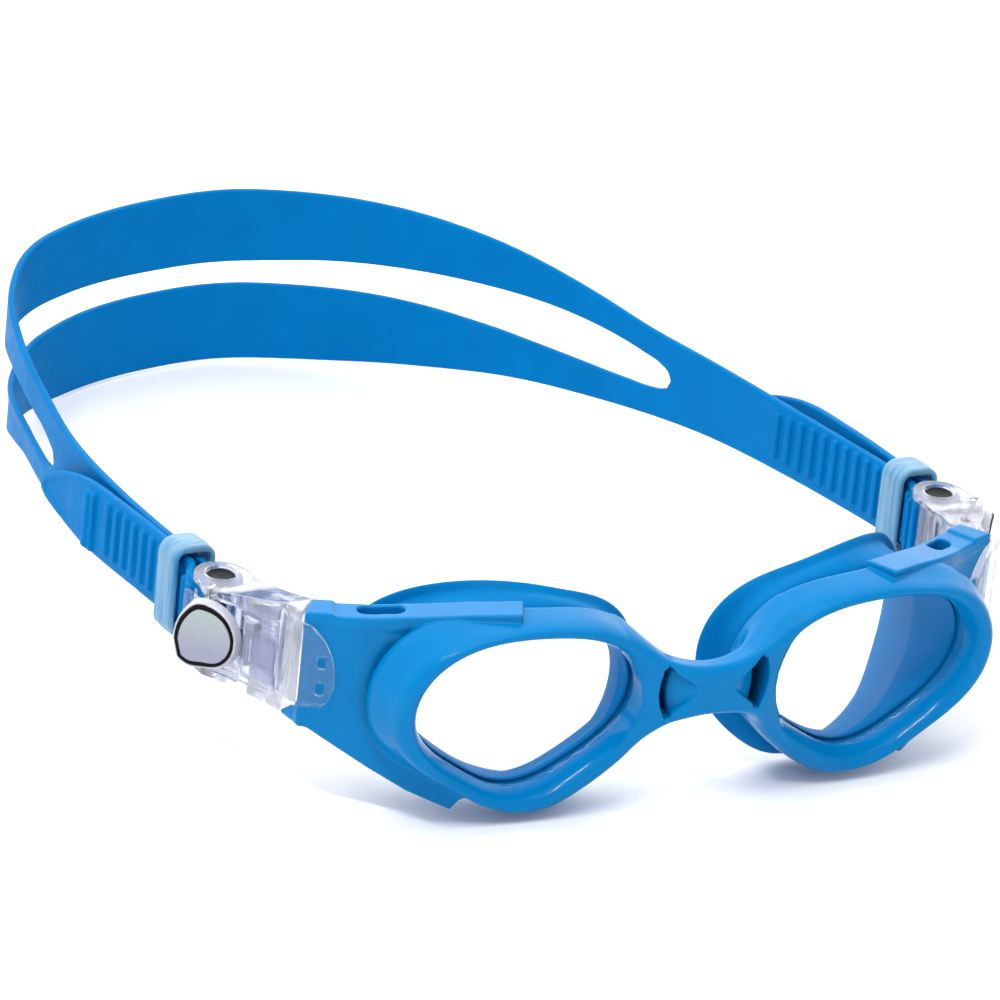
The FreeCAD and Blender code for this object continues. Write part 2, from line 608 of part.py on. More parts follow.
def button_badge():
    """Plain inlay in the face of the push pad."""
    return pad_prism(-0.95, -BADGE_THICK + 0.15, 0.15)


def return_spring():
    """Bent leaf that pushes the pad's front end outward."""
    along, out = pad_axes()
    base = PAD_CENTRE - out * (PAD_THICK + PAD_TRAVEL_ROOM - 0.05) - along * 1.2
    leaf = 0.3
    reach = PAD_TRAVEL_ROOM - 0.15
    outline = [(0, 0), (-4.4, 0), (-4.4, leaf), (-0.7, leaf), (-3.6, reach - leaf), (-3.6, reach), (0.1, leaf)]
    corners = [base + along * s + out * o for s, o in outline]
    return plan_prism([(corner.x, corner.y) for corner in corners], -9.0, -5.4)


def keeper(middle_y):
    """Rubber loop that holds the tail against the main run, at a place along the strap."""
    length = KEEPER_LENGTH
    outer_low = Vector(MAIN_X - STRAP_THICK / 2 - RIB_HEIGHT - KEEPER_EASE - KEEPER_WALL, 0, 0)
    width = TAIL_X - MAIN_X + STRAP_THICK + 2 * (RIB_HEIGHT + KEEPER_EASE + KEEPER_WALL)
    height = STRAP_TOP - STRAP_BOTTOM + 2 * (KEEPER_EDGE_EASE + KEEPER_WALL)
    middle = 0.5 * (STRAP_TOP + STRAP_BOTTOM)
    outer = Part.makeBox(width, length, height, Vector(outer_low.x, -length / 2, middle - height / 2))
    outer = outer.makeFillet(2.8, [edge for edge in outer.Edges if abs(edge.Length - length) < 0.01])
    inner = Part.makeBox(width - 2 * KEEPER_WALL, length, height - 2 * KEEPER_WALL,
                         Vector(outer_low.x + KEEPER_WALL, -length / 2, middle - height / 2 + KEEPER_WALL))
    inner = inner.makeFillet(1.0, [edge for edge in inner.Edges if abs(edge.Length - length) < 0.01])
    loop = outer.cut(inner)
    loop.rotate(Vector(0, 0, 0), Vector(1, 0, 0), -math.degrees(math.atan(STRAP_FALL)))
    loop.translate(Vector(0, middle_y, -STRAP_FALL * (middle_y - 4.0)))
    return loop


# ---- assembly --------------------------------------------------------------------------------------
def nodes():
    """Every piece under its own name."""
    pieces = {"frame": frame(), "strap": strap()}
    sided = {"lens": lens, "skirt": skirt, "buckle_body": buckle_body, "strap_roller": strap_roller,
             "release_lever": release_lever, "lever_pin": lever_pin, "button_badge": button_badge,
             "return_spring": return_spring}
    for name, make in sided.items():
        shape = make()
        pieces["right_" + name] = shape
        pieces["left_" + name] = mirrored(shape)
    pieces["right_keeper"] = keeper(KEEPER_Y["right"])
    pieces["left_keeper"] = mirrored(keeper(KEEPER_Y["left"]))
    return pieces


def main():
    """Build every piece, move the origin to the middle of the base and write the files."""
    pieces = nodes()
    whole = FreeCAD.BoundBox()
    for shape in pieces.values():
        whole.add(shape.optimalBoundingBox(False))
    shift = Vector(-whole.Center.x, -whole.Center.y, -whole.ZMin)
    os.makedirs("parts", exist_ok=True)
    for name, shape in pieces.items():
        shape.translate(shift)
        shape.exportStep("parts/" + name + ".step")
    print("shift", shift, "size", whole.XLength, whole.YLength, whole.ZLength)


main()
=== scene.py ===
"""Looks of the swim goggles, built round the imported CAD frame.

All shapes are drawn in millimetres in a working frame whose origin is midway between the tops of the
two strap rollers, -Y towards the front and +Z up.  Most pieces are level sets of a distance-like
function, turned into quads on a grid and then moved onto the surface itself.
"""

import math

import bpy
import numpy as np
from mathutils import Matrix, Vector


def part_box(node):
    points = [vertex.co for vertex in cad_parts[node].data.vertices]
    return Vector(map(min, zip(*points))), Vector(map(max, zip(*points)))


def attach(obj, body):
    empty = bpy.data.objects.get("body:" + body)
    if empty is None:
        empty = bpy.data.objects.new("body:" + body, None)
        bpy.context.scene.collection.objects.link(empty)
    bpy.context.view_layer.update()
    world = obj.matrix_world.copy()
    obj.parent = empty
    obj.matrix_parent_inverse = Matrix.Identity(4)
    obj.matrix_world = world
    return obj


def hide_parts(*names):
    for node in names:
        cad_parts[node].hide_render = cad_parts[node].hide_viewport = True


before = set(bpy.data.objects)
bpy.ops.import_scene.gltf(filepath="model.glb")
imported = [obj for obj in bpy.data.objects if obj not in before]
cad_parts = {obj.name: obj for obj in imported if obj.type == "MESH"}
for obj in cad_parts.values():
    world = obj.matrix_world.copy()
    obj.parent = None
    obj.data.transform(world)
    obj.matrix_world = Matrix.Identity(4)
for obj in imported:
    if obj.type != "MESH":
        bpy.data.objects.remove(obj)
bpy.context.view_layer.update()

MM = 0.001
ROLLER_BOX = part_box("right_strap_roller")
ORIGIN = Vector((0.0, 0.5 * (ROLLER_BOX[0].y + ROLLER_BOX[1].y), ROLLER_BOX[1].z))


# ---- distance functions ----------------------------------------------------------------------------
def join(a, b, r):
    """Union of two fields with a fillet of radius r."""
    if r <= 0:
        return np.minimum(a, b)
    return np.maximum(r, np.minimum(a, b)) - np.hypot(np.maximum(r - a, 0), np.maximum(r - b, 0))


def meet(a, b, r):
    """Intersection of two fields with its edges rounded to radius r."""
    return -join(-a, -b, r)


def carve(a, b, r):
    """a without b, with the new edges rounded."""
    return meet(a, -b, r)


def rounded_box(p, centre, half, r):
    """Box with rounded edges, from its centre and half sizes."""
    q = [np.abs(p[i] - centre[i]) - (half[i] - r) for i in range(3)]
    outside = np.sqrt(sum(np.maximum(k, 0) ** 2 for k in q))
    return outside + np.minimum(np.maximum(np.maximum(q[0], q[1]), q[2]), 0) - r


def polygon(u, v, corners):
    """Signed distance to a polygon in a plane, negative inside."""
    best = np.full(np.shape(u), 1e9)
    inside = np.zeros(np.shape(u), bool)
    count = len(corners)
    for i in range(count):
        ax, ay = corners[i]
        bx, by = corners[(i + 1) % count]
        ex, ey = bx - ax, by - ay
        t = np.clip(((u - ax) * ex + (v - ay) * ey) / (ex * ex + ey * ey), 0, 1)
        best = np.minimum(best, np.hypot(u - ax - t * ex, v - ay - t * ey))
        crosses = (ay > v) != (by > v)
        inside ^= crosses & (u < ax + (v - ay) * ex / (ey if ey else 1e-12))
    return np.where(inside, -best, best)


# ---- meshes ----------------------------------------------------------------------------------------
def surface_nets(values):
    """Quads round the negative cells of a grid: corner positions in grid steps, and faces."""
    inside = values < 0
    cells = tuple(n - 1 for n in values.shape)
    offsets = [(i, j, k) for i in (0, 1) for j in (0, 1) for k in (0, 1)]
    count = np.zeros(cells, np.int8)
    for i, j, k in offsets:
        count += inside[i:i + cells[0], j:j + cells[1], k:k + cells[2]]
    active = (count > 0) & (count < 8)
    index = np.argwhere(active)
    number = np.full(cells, -1, np.int32)
    number[active] = np.arange(len(index))
    total = np.zeros((len(index), 3))
    hits = np.zeros(len(index))
    for axis in range(3):
        step = np.eye(3, dtype=int)[axis]
        for offset in offsets:
            if offset[axis]:
                continue
            start = index + offset
            end = start + step
            a = values[start[:, 0], start[:, 1], start[:, 2]]
            b = values[end[:, 0], end[:, 1], end[:, 2]]
            crossed = (a < 0) != (b < 0)
            share = np.where(crossed, a / np.where(crossed, a - b, 1), 0)
            total[crossed] += (np.array(offset) + share[:, None] * step)[crossed]
            hits[crossed] += 1
    points = index + total / hits[:, None]
    faces = []
    for axis in range(3):
        one, two = (axis + 1) % 3, (axis + 2) % 3
        low = [slice(None)] * 3
        high = [slice(None)] * 3
        low[axis], high[axis] = slice(0, -1), slice(1, None)
        changed = np.argwhere(inside[tuple(low)] != inside[tuple(high)])
        keep = np.all([(changed[:, a] > 0) & (changed[:, a] < values.shape[a] - 1) for a in (one, two)],
                      axis=0)
        edge = changed[keep]
        first_in = inside[edge[:, 0], edge[:, 1], edge[:, 2]]
        ring = []
        for da, db in ((1, 1), (0, 1), (0, 0), (1, 0)):
            cell = edge.copy()
            cell[:, one] -= da
            cell[:, two] -= db
            ring.append(number[cell[:, 0], cell[:, 1], cell[:, 2]])
        quad = np.stack(ring, 1)
        quad[~first_in] = quad[~first_in][:, ::-1]
        faces.append(quad)
    return points, np.concatenate(faces)


def settle(points, field, step, rounds=4):
    """Moves points onto the zero level of a field by Newton steps along its gradient."""
    reach = 1e-3
    for _ in range(rounds):
        value = field(points.T)
        slope = np.empty_like(points)
        for axis in range(3):
            ahead, behind = points.copy(), points.copy()
            ahead[:, axis] += reach
            behind[:, axis] -= reach
            slope[:, axis] = (field(ahead.T) - field(behind.T)) / (2 * reach)
        size = np.maximum((slope ** 2).sum(1), 1e-2)
        move = -(value / size)[:, None] * slope
        length = np.maximum(np.linalg.norm(move, axis=1), 1e-9)
        points = points + move * np.minimum(1, step / length)[:, None]
    return points


def make_object(name, points, faces, material, body, stands_for=()):
    """Mesh object from millimetre points in the working frame, riding on its body."""
    mesh = bpy.data.meshes.new(name)
    placed = np.asarray(points) * MM + np.array(ORIGIN)
    if isinstance(faces, list):
        mesh.from_pydata(placed.tolist(), [], faces)
    else:
        sides = faces.shape[1]
        mesh.vertices.add(len(points))
        mesh.loops.add(faces.size)
        mesh.polygons.add(len(faces))
        mesh.vertices.foreach_set("co", placed.astype(np.float32).ravel())
        mesh.loops.foreach_set("vertex_index", faces.astype(np.int32).ravel())
        mesh.polygons.foreach_set("loop_start", np.arange(0, faces.size, sides, dtype=np.int32))
    mesh.polygons.foreach_set("use_smooth", np.ones(len(faces), bool))
    mesh.update(calc_edges=True)
    mesh.validate()
    mesh.materials.append(material)
    piece = bpy.data.objects.new(name, mesh)
    bpy.context.scene.collection.objects.link(piece)
    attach(piece, body)
    if stands_for:
        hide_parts(*stands_for)
    return piece


def level_set(field, low, high, step):
    """Points and faces of a field's zero level inside a box."""
    axes = [np.arange(low[i], high[i] + step, step) for i in range(3)]
    grid = np.meshgrid(*axes, indexing="ij")
    points, faces = surface_nets(field(grid))
    points = np.array([a[0] for a in axes]) + points * step
    return settle(points, field, 0.5 * step), faces


def flipped(points, faces):
    """The same mesh on the other side of the goggles."""
    if isinstance(faces, list):
        return points * np.array([-1, 1, 1]), [face[::-1] for face in faces]
    return points * np.array([-1, 1, 1]), faces[:, ::-1]


def smooth(a, b, x):
    """Smooth step from 0 at a to 1 at b."""
    t = np.clip((x - a) / (b - a), 0, 1)
    return t * t * (3 - 2 * t)


def trace(points, count=12, closed=False):
    """Dense smooth line through plane points (cubic pieces with finite-difference slopes)."""
    points = np.asarray(points, float)
    if closed:
        points = np.concatenate([points[-2:], points, points[:3]])
    gaps = np.maximum(np.linalg.norm(np.diff(points, axis=0), axis=1), 1e-9)[:, None]
    chords = np.diff(points, axis=0) / gaps
    slopes = np.empty_like(points)
    slopes[1:-1] = (chords[1:] * gaps[:-1] + chords[:-1] * gaps[1:]) / (gaps[1:] + gaps[:-1])
    slopes[0], slopes[-1] = chords[0], chords[-1]
    t = (np.arange(count) / count)[None, :, None]
    a, b = points[:-1, None], points[1:, None]
    da, db = (slopes[:-1] * gaps)[:, None], (slopes[1:] * gaps)[:, None]
    line = ((2 * t ** 3 - 3 * t ** 2 + 1) * a + (t ** 3 - 2 * t ** 2 + t) * da
            + (3 * t ** 2 - 2 * t ** 3) * b + (t ** 3 - t ** 2) * db).reshape(-1, points.shape[1])
    if closed:
        return line[2 * count:-3 * count]
    return np.concatenate([line, points[-1:]])


def along_line(points, at):
    """Height of a smooth line through (y, z) points at given y."""
    line = trace(points)
    return np.interp(at, line[:, 0], line[:, 1])


def lathe(profile, centre, count=48):
    """Closed turned part from (radius, z) points, first and last on the axis."""
    points = [(centre[0], centre[1], profile[0][1])]
    for radius, z in profile[1:-1]:
        for k in range(count):
            angle = 2 * math.pi * k / count
            points.append((centre[0] + radius * math.cos(angle), centre[1] + radius * math.sin(angle), z))
    points.append((centre[0], centre[1], profile[-1][1]))
    return np.array(points), capped(len(profile) - 2, count)


def capped(rows, count):
    """Faces over rows of points round an axis, between a first and a last point on it."""
    faces = []
    for row in range(rows - 1):
        for k in range(count):
            a, b = 1 + row * count + k, 1 + row * count + (k + 1) % count
            faces.append((a, a + count, b + count, b))
    last = 1 + (rows - 1) * count
    for k in range(count):
        after = (k + 1) % count
        faces.append((0, 1 + k, 1 + after))
        faces.append((last + count, last + after, last + k))
    return faces


def wrapped(poles, refine):
    """Doubly periodic cubic B-spline skin through a grid of poles."""
    poles = np.asarray(poles, float)
    for axis in (0, 1):
        count, steps = poles.shape[axis], refine[axis]
        t = np.arange(steps) / steps
        weights = [(1 - t) ** 3 / 6, (3 * t ** 3 - 6 * t ** 2 + 4) / 6,
                   (-3 * t ** 3 + 3 * t ** 2 + 3 * t + 1) / 6, t ** 3 / 6]
        base = np.moveaxis(poles, axis, 0)
        rows = sum(w[None, :, None, None] * np.roll(base, 1 - k, axis=0)[:, None]
                   for k, w in enumerate(weights))
        poles = np.moveaxis(rows.reshape(count * steps, *base.shape[1:]), 0, axis)
    rounds, sides = poles.shape[:2]
    index = np.arange(rounds * sides).reshape(rounds, sides)
    ahead, over = np.roll(index, -1, axis=0), np.roll(index, -1, axis=1)
    both = np.roll(ahead, -1, axis=1)
    faces = np.stack([index, ahead, both, over], axis=-1).reshape(-1, 4)
    points = poles.reshape(-1, 3)
    a, b, c, d = (points[faces[:, k]] for k in range(4))
    if (np.einsum("ij,ij->i", a, np.cross(b, c)) + np.einsum("ij,ij->i", a, np.cross(c, d))).sum() < 0:
        faces = faces[:, ::-1]
    return points, faces


PRESSED_IN = 4.2       # how far the right wing's rear end is pressed towards the head


def pressed(points):
    """The right wing and all that it carries yield a little inward between the ring and the roller."""
    points = np.array(points)
    x, y = points[:, 0], points[:, 1]
    points[:, 0] = x - PRESSED_IN * smooth(-41, -29, y) * smooth(-9, -26, y) * smooth(40, 60, x)
    return points


def pair(kind, points, faces, material, body, stands_for=(), on_wing=False):
    """The same piece on both sides, named for each; left is mirrored."""
    for side in ("right", "left"):
        p, f = (points, faces) if side == "right" else flipped(points, faces)
        if on_wing and side == "right":
            p = pressed(p)
        make_object(side + "_" + kind, p, f, material, body.replace("SIDE", side),
                    [side + "_" + node for node in stands_for])


# ---- shared shape of lens, ring and seal -----------------------------------------------------------
EYE = np.array([31.7, -41.6, -9.7])
WRAP, RAKE = math.radians(3.1), math.radians(5.0)
ACROSS = np.array([math.cos(WRAP), math.sin(WRAP), 0])
UP = np.array([math.sin(RAKE) * math.sin(WRAP), -math.sin(RAKE) * math.cos(WRAP), math.cos(RAKE)])
FORWARD = np.cross(ACROSS, UP)


def bump(angle, middle, width):
    """Smooth bump round an angle in degrees, 1 in its middle."""
    away = np.abs((np.degrees(angle) - middle + 180) % 360 - 180) / width
    return np.exp(-away ** 2)


def lens_radius(angle):
    """Polar radius of the visible lens edge; 0 is the temple side, a quarter turn is up."""
    return (15.87 + 2.58 * np.cos(2 * angle) + 0.2 * np.sin(2 * angle)
            + 1.02 * np.sin(3 * angle) + 0.51 * np.cos(4 * angle))


def lens_frame(p):
    """Angle about the lens axis, distance outside the lens edge and distance in front of it."""
    d = [p[i] - EYE[i] for i in range(3)]
    u, v, w = (sum(d[i] * axis[i] for i in range(3)) for axis in (ACROSS, UP, FORWARD))
    angle = np.arctan2(v, u)
    return angle, np.hypot(u, v) - lens_radius(angle), w


def ring_rear(angle):
    """Back of the ring behind the lens face, nearest at the inner brow."""
    return -5.6 - 0.6 * np.sin(angle) + 1.9 * bump(angle, 105, 42)


# ---- frame -----------------------------------------------------------------------------------------
WING_FRONT = np.array([34.2, -43.3])
WING_REAR = np.array([65.1, -28.1])
WING_WAY = (WING_REAR - WING_FRONT) / np.linalg.norm(WING_REAR - WING_FRONT)
WING_OUT = np.array([WING_WAY[1], -WING_WAY[0]])
SEAT = -0.9        # lens face behind the lens plane of the drawing
LENS_THICK = 1.6
MOUTH = 0.4        # visible opening outside the drawn lens edge
CREST = 2.7        # top of the bead outside the lens edge
RING_FRONT = 3.4   # and in front of the lens plane


def wing_place(p, start):
    """Distance along the wing from a point of its plan, and outside its outer face."""
    dx, dy = p[0] - start[0], p[1] - start[1]
    return dx * WING_WAY[0] + dy * WING_WAY[1], dx * WING_OUT[0] + dy * WING_OUT[1]


def ring_field(p):
    """Bead round the lens: steep inside, rounded over the crest, straight down outside."""
    angle, rho, w = lens_frame(p)
    toward_temple = np.maximum(0, np.cos(angle))
    degrees = np.degrees(angle)
    outer = (5.0 - 0.6 * np.sin(angle) + 0.3 * np.cos(angle)
             - 0.75 * bump(angle, 92, 40) - 0.7 * bump(angle, 60, 20)
             - 2.0 * smooth(-115, -78, degrees) * (1 - smooth(-50, -5, degrees)))
    swell = 1.7 * toward_temple ** 2 * smooth(1.0, -5.0, w)
    reach = np.where(rho < CREST, CREST - MOUTH, outer + swell - CREST)
    start = SEAT - 0.6
    ahead = np.maximum(w - start, 0) / (RING_FRONT - start)
    n = np.where(rho < CREST, 1.9, 2.2)
    across = np.abs(rho - CREST) / reach
    size = np.maximum((across ** n + ahead ** n) ** (1 / n), 1e-3)
    slope = np.hypot((across / size) ** (n - 1) / reach, (ahead / size) ** (n - 1) / (RING_FRONT - start))
    bead = (size - 1) / np.maximum(slope, 0.15)
    return meet(bead, ring_rear(angle) - 0.3 - w, 0.7)


HEEL_PLAN = [(62.6, -28.6), (65.6, -27.9), (66.4, -22.3), (63.6, -22.3)]
HEEL_SIDE = [(-28.5, -10.6), (-26.8, -11.3), (-24.8, -12.7), (-22.3, -14.6), (-22.3, -15.15), (-28.5, -15.3)]
FRONT = [np.array(p) for p in ((61.9, -21.6, 4.5), (65.0, -25.3, 4.5), (66.2, -22.0, -14.7))]
FRONT_WAY = np.cross(FRONT[1] - FRONT[0], FRONT[2] - FRONT[0])
FRONT_WAY = FRONT_WAY / np.linalg.norm(FRONT_WAY) * (-1 if FRONT_WAY[1] > 0 else 1)


def before_buckle(p):
    """Distance in front of the buckle's slanted front face."""
    return sum((p[i] - FRONT[0][i]) * FRONT_WAY[i] for i in range(3))


def wing_field(p):
    """Side wing between the ring and the buckle, under a flat ledge."""
    x, y, z = p
    along, out = wing_place(p, WING_FRONT)
    ledge = (np.interp(along, [0, 9, 15.5, 25, 34.5], [7.95, 7.0, 6.1, 4.95, 4.6])
             + 0.45 * smooth(30.6, 31.3, along))
    foot = np.interp(along, [5, 10.2, 16.5, 22.7, 28.5, 34.5], [-29.5, -27.6, -25.3, -22.0, -18.6, -15.0])
    body = meet(out, -out - 2.0, 0.3)
    body = meet(body, foot - z, 0.5)
    shelf = meet(out, -out - 6.0, 0.4)
    thicker = 1.4 * smooth(-4.2, -2.4, out) * smooth(13, 7, along)
    shelf = meet(shelf, ledge - 2.2 - thicker - z, 0.3)
    body = join(body, shelf, 0.5)
    body = meet(body, z - ledge, 0.35)
    front = np.interp(z, [-30, -27.7, -26, -20, -6], [8.9, 8.9, 7.6, 4.2, 0.4])
    body = meet(body, front - along, 0.4)
    body = meet(body, along - 35.6, 0.3)
    # low behind the clip a tapering heel reaches back to the buckle's corner
    heel = meet(polygon(x, y, HEEL_PLAN), polygon(y, z, HEEL_SIDE), 0.3)
    body = meet(join(body, heel, 0.5), 0.15 - before_buckle(p), 0.25)
    pocket = rounded_box((along - 23.3, out + 3.5, z - ledge), (0, 0, 0), (3.9, 1.45, 3.0), 1.4)
    return carve(body, pocket, 0.25)


SLOT = [(8.6, -2.5), (9.6, -3.0), (10.1, -5.2), (10.2, -7.2), (9.8, -9.4), (8.8, -11.9), (7.6, -11.6),
        (8.0, -9.2), (8.1, -7.2), (7.9, -5.2), (7.7, -3.2)]


def frame_field(p):
    """One-piece frame: rings, wings and bridge."""
    p = (np.abs(p[0]), p[1], p[2])
    x, y, z = p
    angle, rho, w = lens_frame(p)
    ring = ring_field(p)
    wing = wing_field(p)
    # keep the wing out of the lens opening and behind the bead
    wing = carve(wing, np.maximum(rho - 2.6, ring_rear(angle) - 2.0 - w), 0.3)
    soft = 1 - smooth(0.5, 4.0, z)
    whole = soft * join(ring, wing, 1.6) + (1 - soft) * join(ring, wing, 0.25)
    half_height = 4.35 + 0.0215 * x ** 2
    half_depth = 3.3 - 0.9 * np.exp(-(x / 8) ** 2)
    middle = -46.1 + 0.022 * x ** 2
    bar_middle = -7.62 + 0.001 * x ** 2
    bar = rounded_box((x * 0, y - middle, z - bar_middle), (0, 0, 0), (9, half_depth, half_height), 1.5)
    bar = np.maximum(bar, x - 13.5)
    whole = join(whole, bar, 3.0)
    # three-sided recess that deepens towards a slot beside the ring
    deep = (x - 2.9) * 0.4
    recess = polygon(x, z, [(2.9, -7.0), (8.9, -2.6), (9.6, -7.0), (8.6, -11.8)])
    recess = np.maximum(recess, y - (middle - half_depth + deep))
    whole = carve(whole, recess, 0.35)
    slot = np.maximum(polygon(x, z, SLOT), y - (middle + 3.2))
    whole = carve(whole, slot, 0.3)
    # seat of the lens
    seat = np.maximum(rho - MOUTH - 0.6, w - SEAT - 0.1)
    mouth = np.maximum(rho - MOUTH, SEAT - 1.0 - w)
    return carve(carve(whole, seat, 0.05), mouth, 0.1)


# ---- materials -------------------------------------------------------------------------------------
def node_material(name, roughness=0.3, coat=0.0, transmission=0.0, ior=1.5, alpha=1.0, specular=0.5):
    """Material with its Principled shader ready to be fed."""
    material = bpy.data.materials.new(name)
    material.use_nodes = True
    tree = material.node_tree
    shader = tree.nodes["Principled BSDF"]
    shader.inputs["Roughness"].default_value = roughness
    shader.inputs["Coat Weight"].default_value = coat
    shader.inputs["Transmission Weight"].default_value = transmission
    shader.inputs["IOR"].default_value = ior
    shader.inputs["Alpha"].default_value = alpha
    shader.inputs["Specular IOR Level"].default_value = specular
    return material, tree, shader


def noise(tree, scale, detail=3.0, stretch=(1, 1, 1), roughness=0.5):
    """Noise in the piece's own millimetres, stretched along an axis by small factors."""
    place = tree.nodes.new("ShaderNodeTexCoord")
    mapping = tree.nodes.new("ShaderNodeMapping")
    mapping.inputs["Scale"].default_value = [1000 * k for k in stretch]
    texture = tree.nodes.new("ShaderNodeTexNoise")
    texture.inputs["Scale"].default_value = scale
    texture.inputs["Detail"].default_value = detail
    texture.inputs["Roughness"].default_value = roughness
    tree.links.new(place.outputs["Object"], mapping.inputs["Vector"])
    tree.links.new(mapping.outputs["Vector"], texture.inputs["Vector"])
    return texture.outputs["Fac"]


def ramp(tree, factor, stops):
    """Colour ramp fed by a factor."""
    node = tree.nodes.new("ShaderNodeValToRGB")
    elements = node.color_ramp.elements
    while len(elements) < len(stops):
        elements.new(0.5)
    for element, (at, colour) in zip(elements, stops):
        element.position = at
        element.color = (*colour, 1)
    tree.links.new(factor, node.inputs["Fac"])
    return node.outputs["Color"]


def spread(tree, factor, low, high):
    """Factor mapped to a narrow range of values."""
    node = tree.nodes.new("ShaderNodeMapRange")
    node.inputs["From Min"].default_value = 0.3
    node.inputs["From Max"].default_value = 0.7
    node.inputs["To Min"].default_value = low
    node.inputs["To Max"].default_value = high
    tree.links.new(factor, node.inputs["Value"])
    return node.outputs["Result"]


def bumpy(tree, shader, factor, depth, strength=0.5):
    """Fine relief on a shader's normal, depth in millimetres."""
    node = tree.nodes.new("ShaderNodeBump")
    node.inputs["Strength"].default_value = strength
    node.inputs["Distance"].default_value = depth * MM
    tree.links.new(factor, node.inputs["Height"])
    tree.links.new(node.outputs["Normal"], shader.inputs["Normal"])


def multiplied(tree, colour, other, factor=1.0):
    """Two colours multiplied."""
    node = tree.nodes.new("ShaderNodeMix")
    node.data_type = "RGBA"
    node.blend_type = "MULTIPLY"
    node.inputs["Factor"].default_value = factor
    tree.links.new(colour, node.inputs["A"])
    tree.links.new(other, node.inputs["B"])
    return node.outputs["Result"]


def surface(tree, shader, colour, gloss, low, high):
    """Feeds a shader its colour, and a roughness between two values."""
    tree.links.new(colour, shader.inputs["Base Color"])
    tree.links.new(spread(tree, gloss, low, high), shader.inputs["Roughness"])


def shade(colour, k):
    """Colour made lighter or darker."""
    return tuple(min(1, c * k) for c in colour)


def moulded(name, colour, roughness, grain=3.0, depth=0.02, cloud=0.05, cloud_scale=0.12, coat=0.0,
            hollow=None, **options):
    """Moulded plastic or rubber: cloudy colour, optional painted shade that darkens the colour in hollows
    where little light reaches, uneven gloss and a fine skin texture.
    """
    material, tree, shader = node_material(name, roughness, coat, **options)
    cloudy = noise(tree, cloud_scale, 4.0)
    tint = ramp(tree, cloudy, [(0.3, shade(colour, 1 - cloud)), (0.7, shade(colour, 1 + cloud))])
    # painted shade: an ambient occlusion factor within this reach darkens the base colour in hollows, creases
    # and slots
    if hollow:
        painted_shade_ao = tree.nodes.new("ShaderNodeAmbientOcclusion")
        painted_shade_ao.inputs["Distance"].default_value = hollow * MM
        painted_shade_ao.samples = 6
        painted_shade_ao.only_local = True
        painted_shade_stops = [(0.15, (0.1, 0.14, 0.2)), (0.5, (0.7, 0.7, 0.75)), (0.85, (1, 1, 1))]
        tint = multiplied(tree, tint, ramp(tree, painted_shade_ao.outputs["AO"], painted_shade_stops))
    surface(tree, shader, tint, noise(tree, 0.5, 5.0), roughness * 0.85, roughness * 1.2)
    bumpy(tree, shader, noise(tree, grain, 2.0), depth)
    return material


def streaked_rubber(name, light, dark, roughness):
    """Translucent rubber that shows the ribs under it as upright streaks."""
    material, tree, shader = node_material(name, roughness, transmission=0.25, ior=1.42)
    upright_streaks = noise(tree, 0.75, 3.0, stretch=(0.25, 1.0, 0.06), roughness=0.6)
    tint = ramp(tree, upright_streaks, [(0.36, dark), (0.52, light), (0.75, shade(light, 1.15))])
    surface(tree, shader, tint, noise(tree, 0.9, 4.0), roughness * 0.8, roughness * 1.2)
    bumpy(tree, shader, noise(tree, 2.5, 2.0, stretch=(1, 1, 0.3)), 0.03)
    return material


def clear_plastic(name, colour, roughness, ior, depth, alpha=1.0):
    """Clear moulding with faint flow lines and slightly uneven polish."""
    material, tree, shader = node_material(name, roughness, transmission=1.0, ior=ior, alpha=alpha)
    flow = noise(tree, 0.25, 3.0, stretch=(1, 0.4, 1))
    tint = ramp(tree, flow, [(0.3, shade(colour, 0.96)), (0.7, shade(colour, 1.04))])
    surface(tree, shader, tint, noise(tree, 1.2, 4.0), roughness * 0.7, roughness * 1.4)
    bumpy(tree, shader, noise(tree, 0.6, 3.0), depth, 0.4)
    return material


def brushed(name, colour, roughness):
    """Stainless steel with fine drawn lines."""
    material, tree, shader = node_material(name, roughness)
    shader.inputs["Metallic"].default_value = 1.0
    lines = noise(tree, 6.0, 2.0, stretch=(1, 1, 0.05))
    tint = ramp(tree, lines, [(0.3, shade(colour, 0.9)), (0.7, shade(colour, 1.08))])
    surface(tree, shader, tint, lines, roughness * 0.7, roughness * 1.5)
    bumpy(tree, shader, lines, 0.01)
    return material


def inlay(name, top, bottom, low, high, roughness):
    """Metallic inlay whose tint runs from its top colour to its bottom colour, with a fine sparkle."""
    material, tree, shader = node_material(name, roughness, coat=0.6)
    shader.inputs["Metallic"].default_value = 0.35
    place = tree.nodes.new("ShaderNodeTexCoord")
    split = tree.nodes.new("ShaderNodeSeparateXYZ")
    scale = tree.nodes.new("ShaderNodeMapRange")
    scale.inputs["From Min"].default_value = low
    scale.inputs["From Max"].default_value = high
    tree.links.new(place.outputs["Object"], split.inputs["Vector"])
    tree.links.new(split.outputs["Z"], scale.inputs["Value"])
    tint = ramp(tree, scale.outputs["Result"], [(0.1, bottom), (0.9, top)])
    fleck = ramp(tree, noise(tree, 9.0, 1.0), [(0.35, (0.8, 0.8, 0.84)), (0.65, (1, 1, 1))])
    surface(tree, shader, multiplied(tree, tint, fleck, 0.05), noise(tree, 4.0),
            roughness * 0.8, roughness * 1.2)
    bumpy(tree, shader, noise(tree, 5.0), 0.008)
    return material
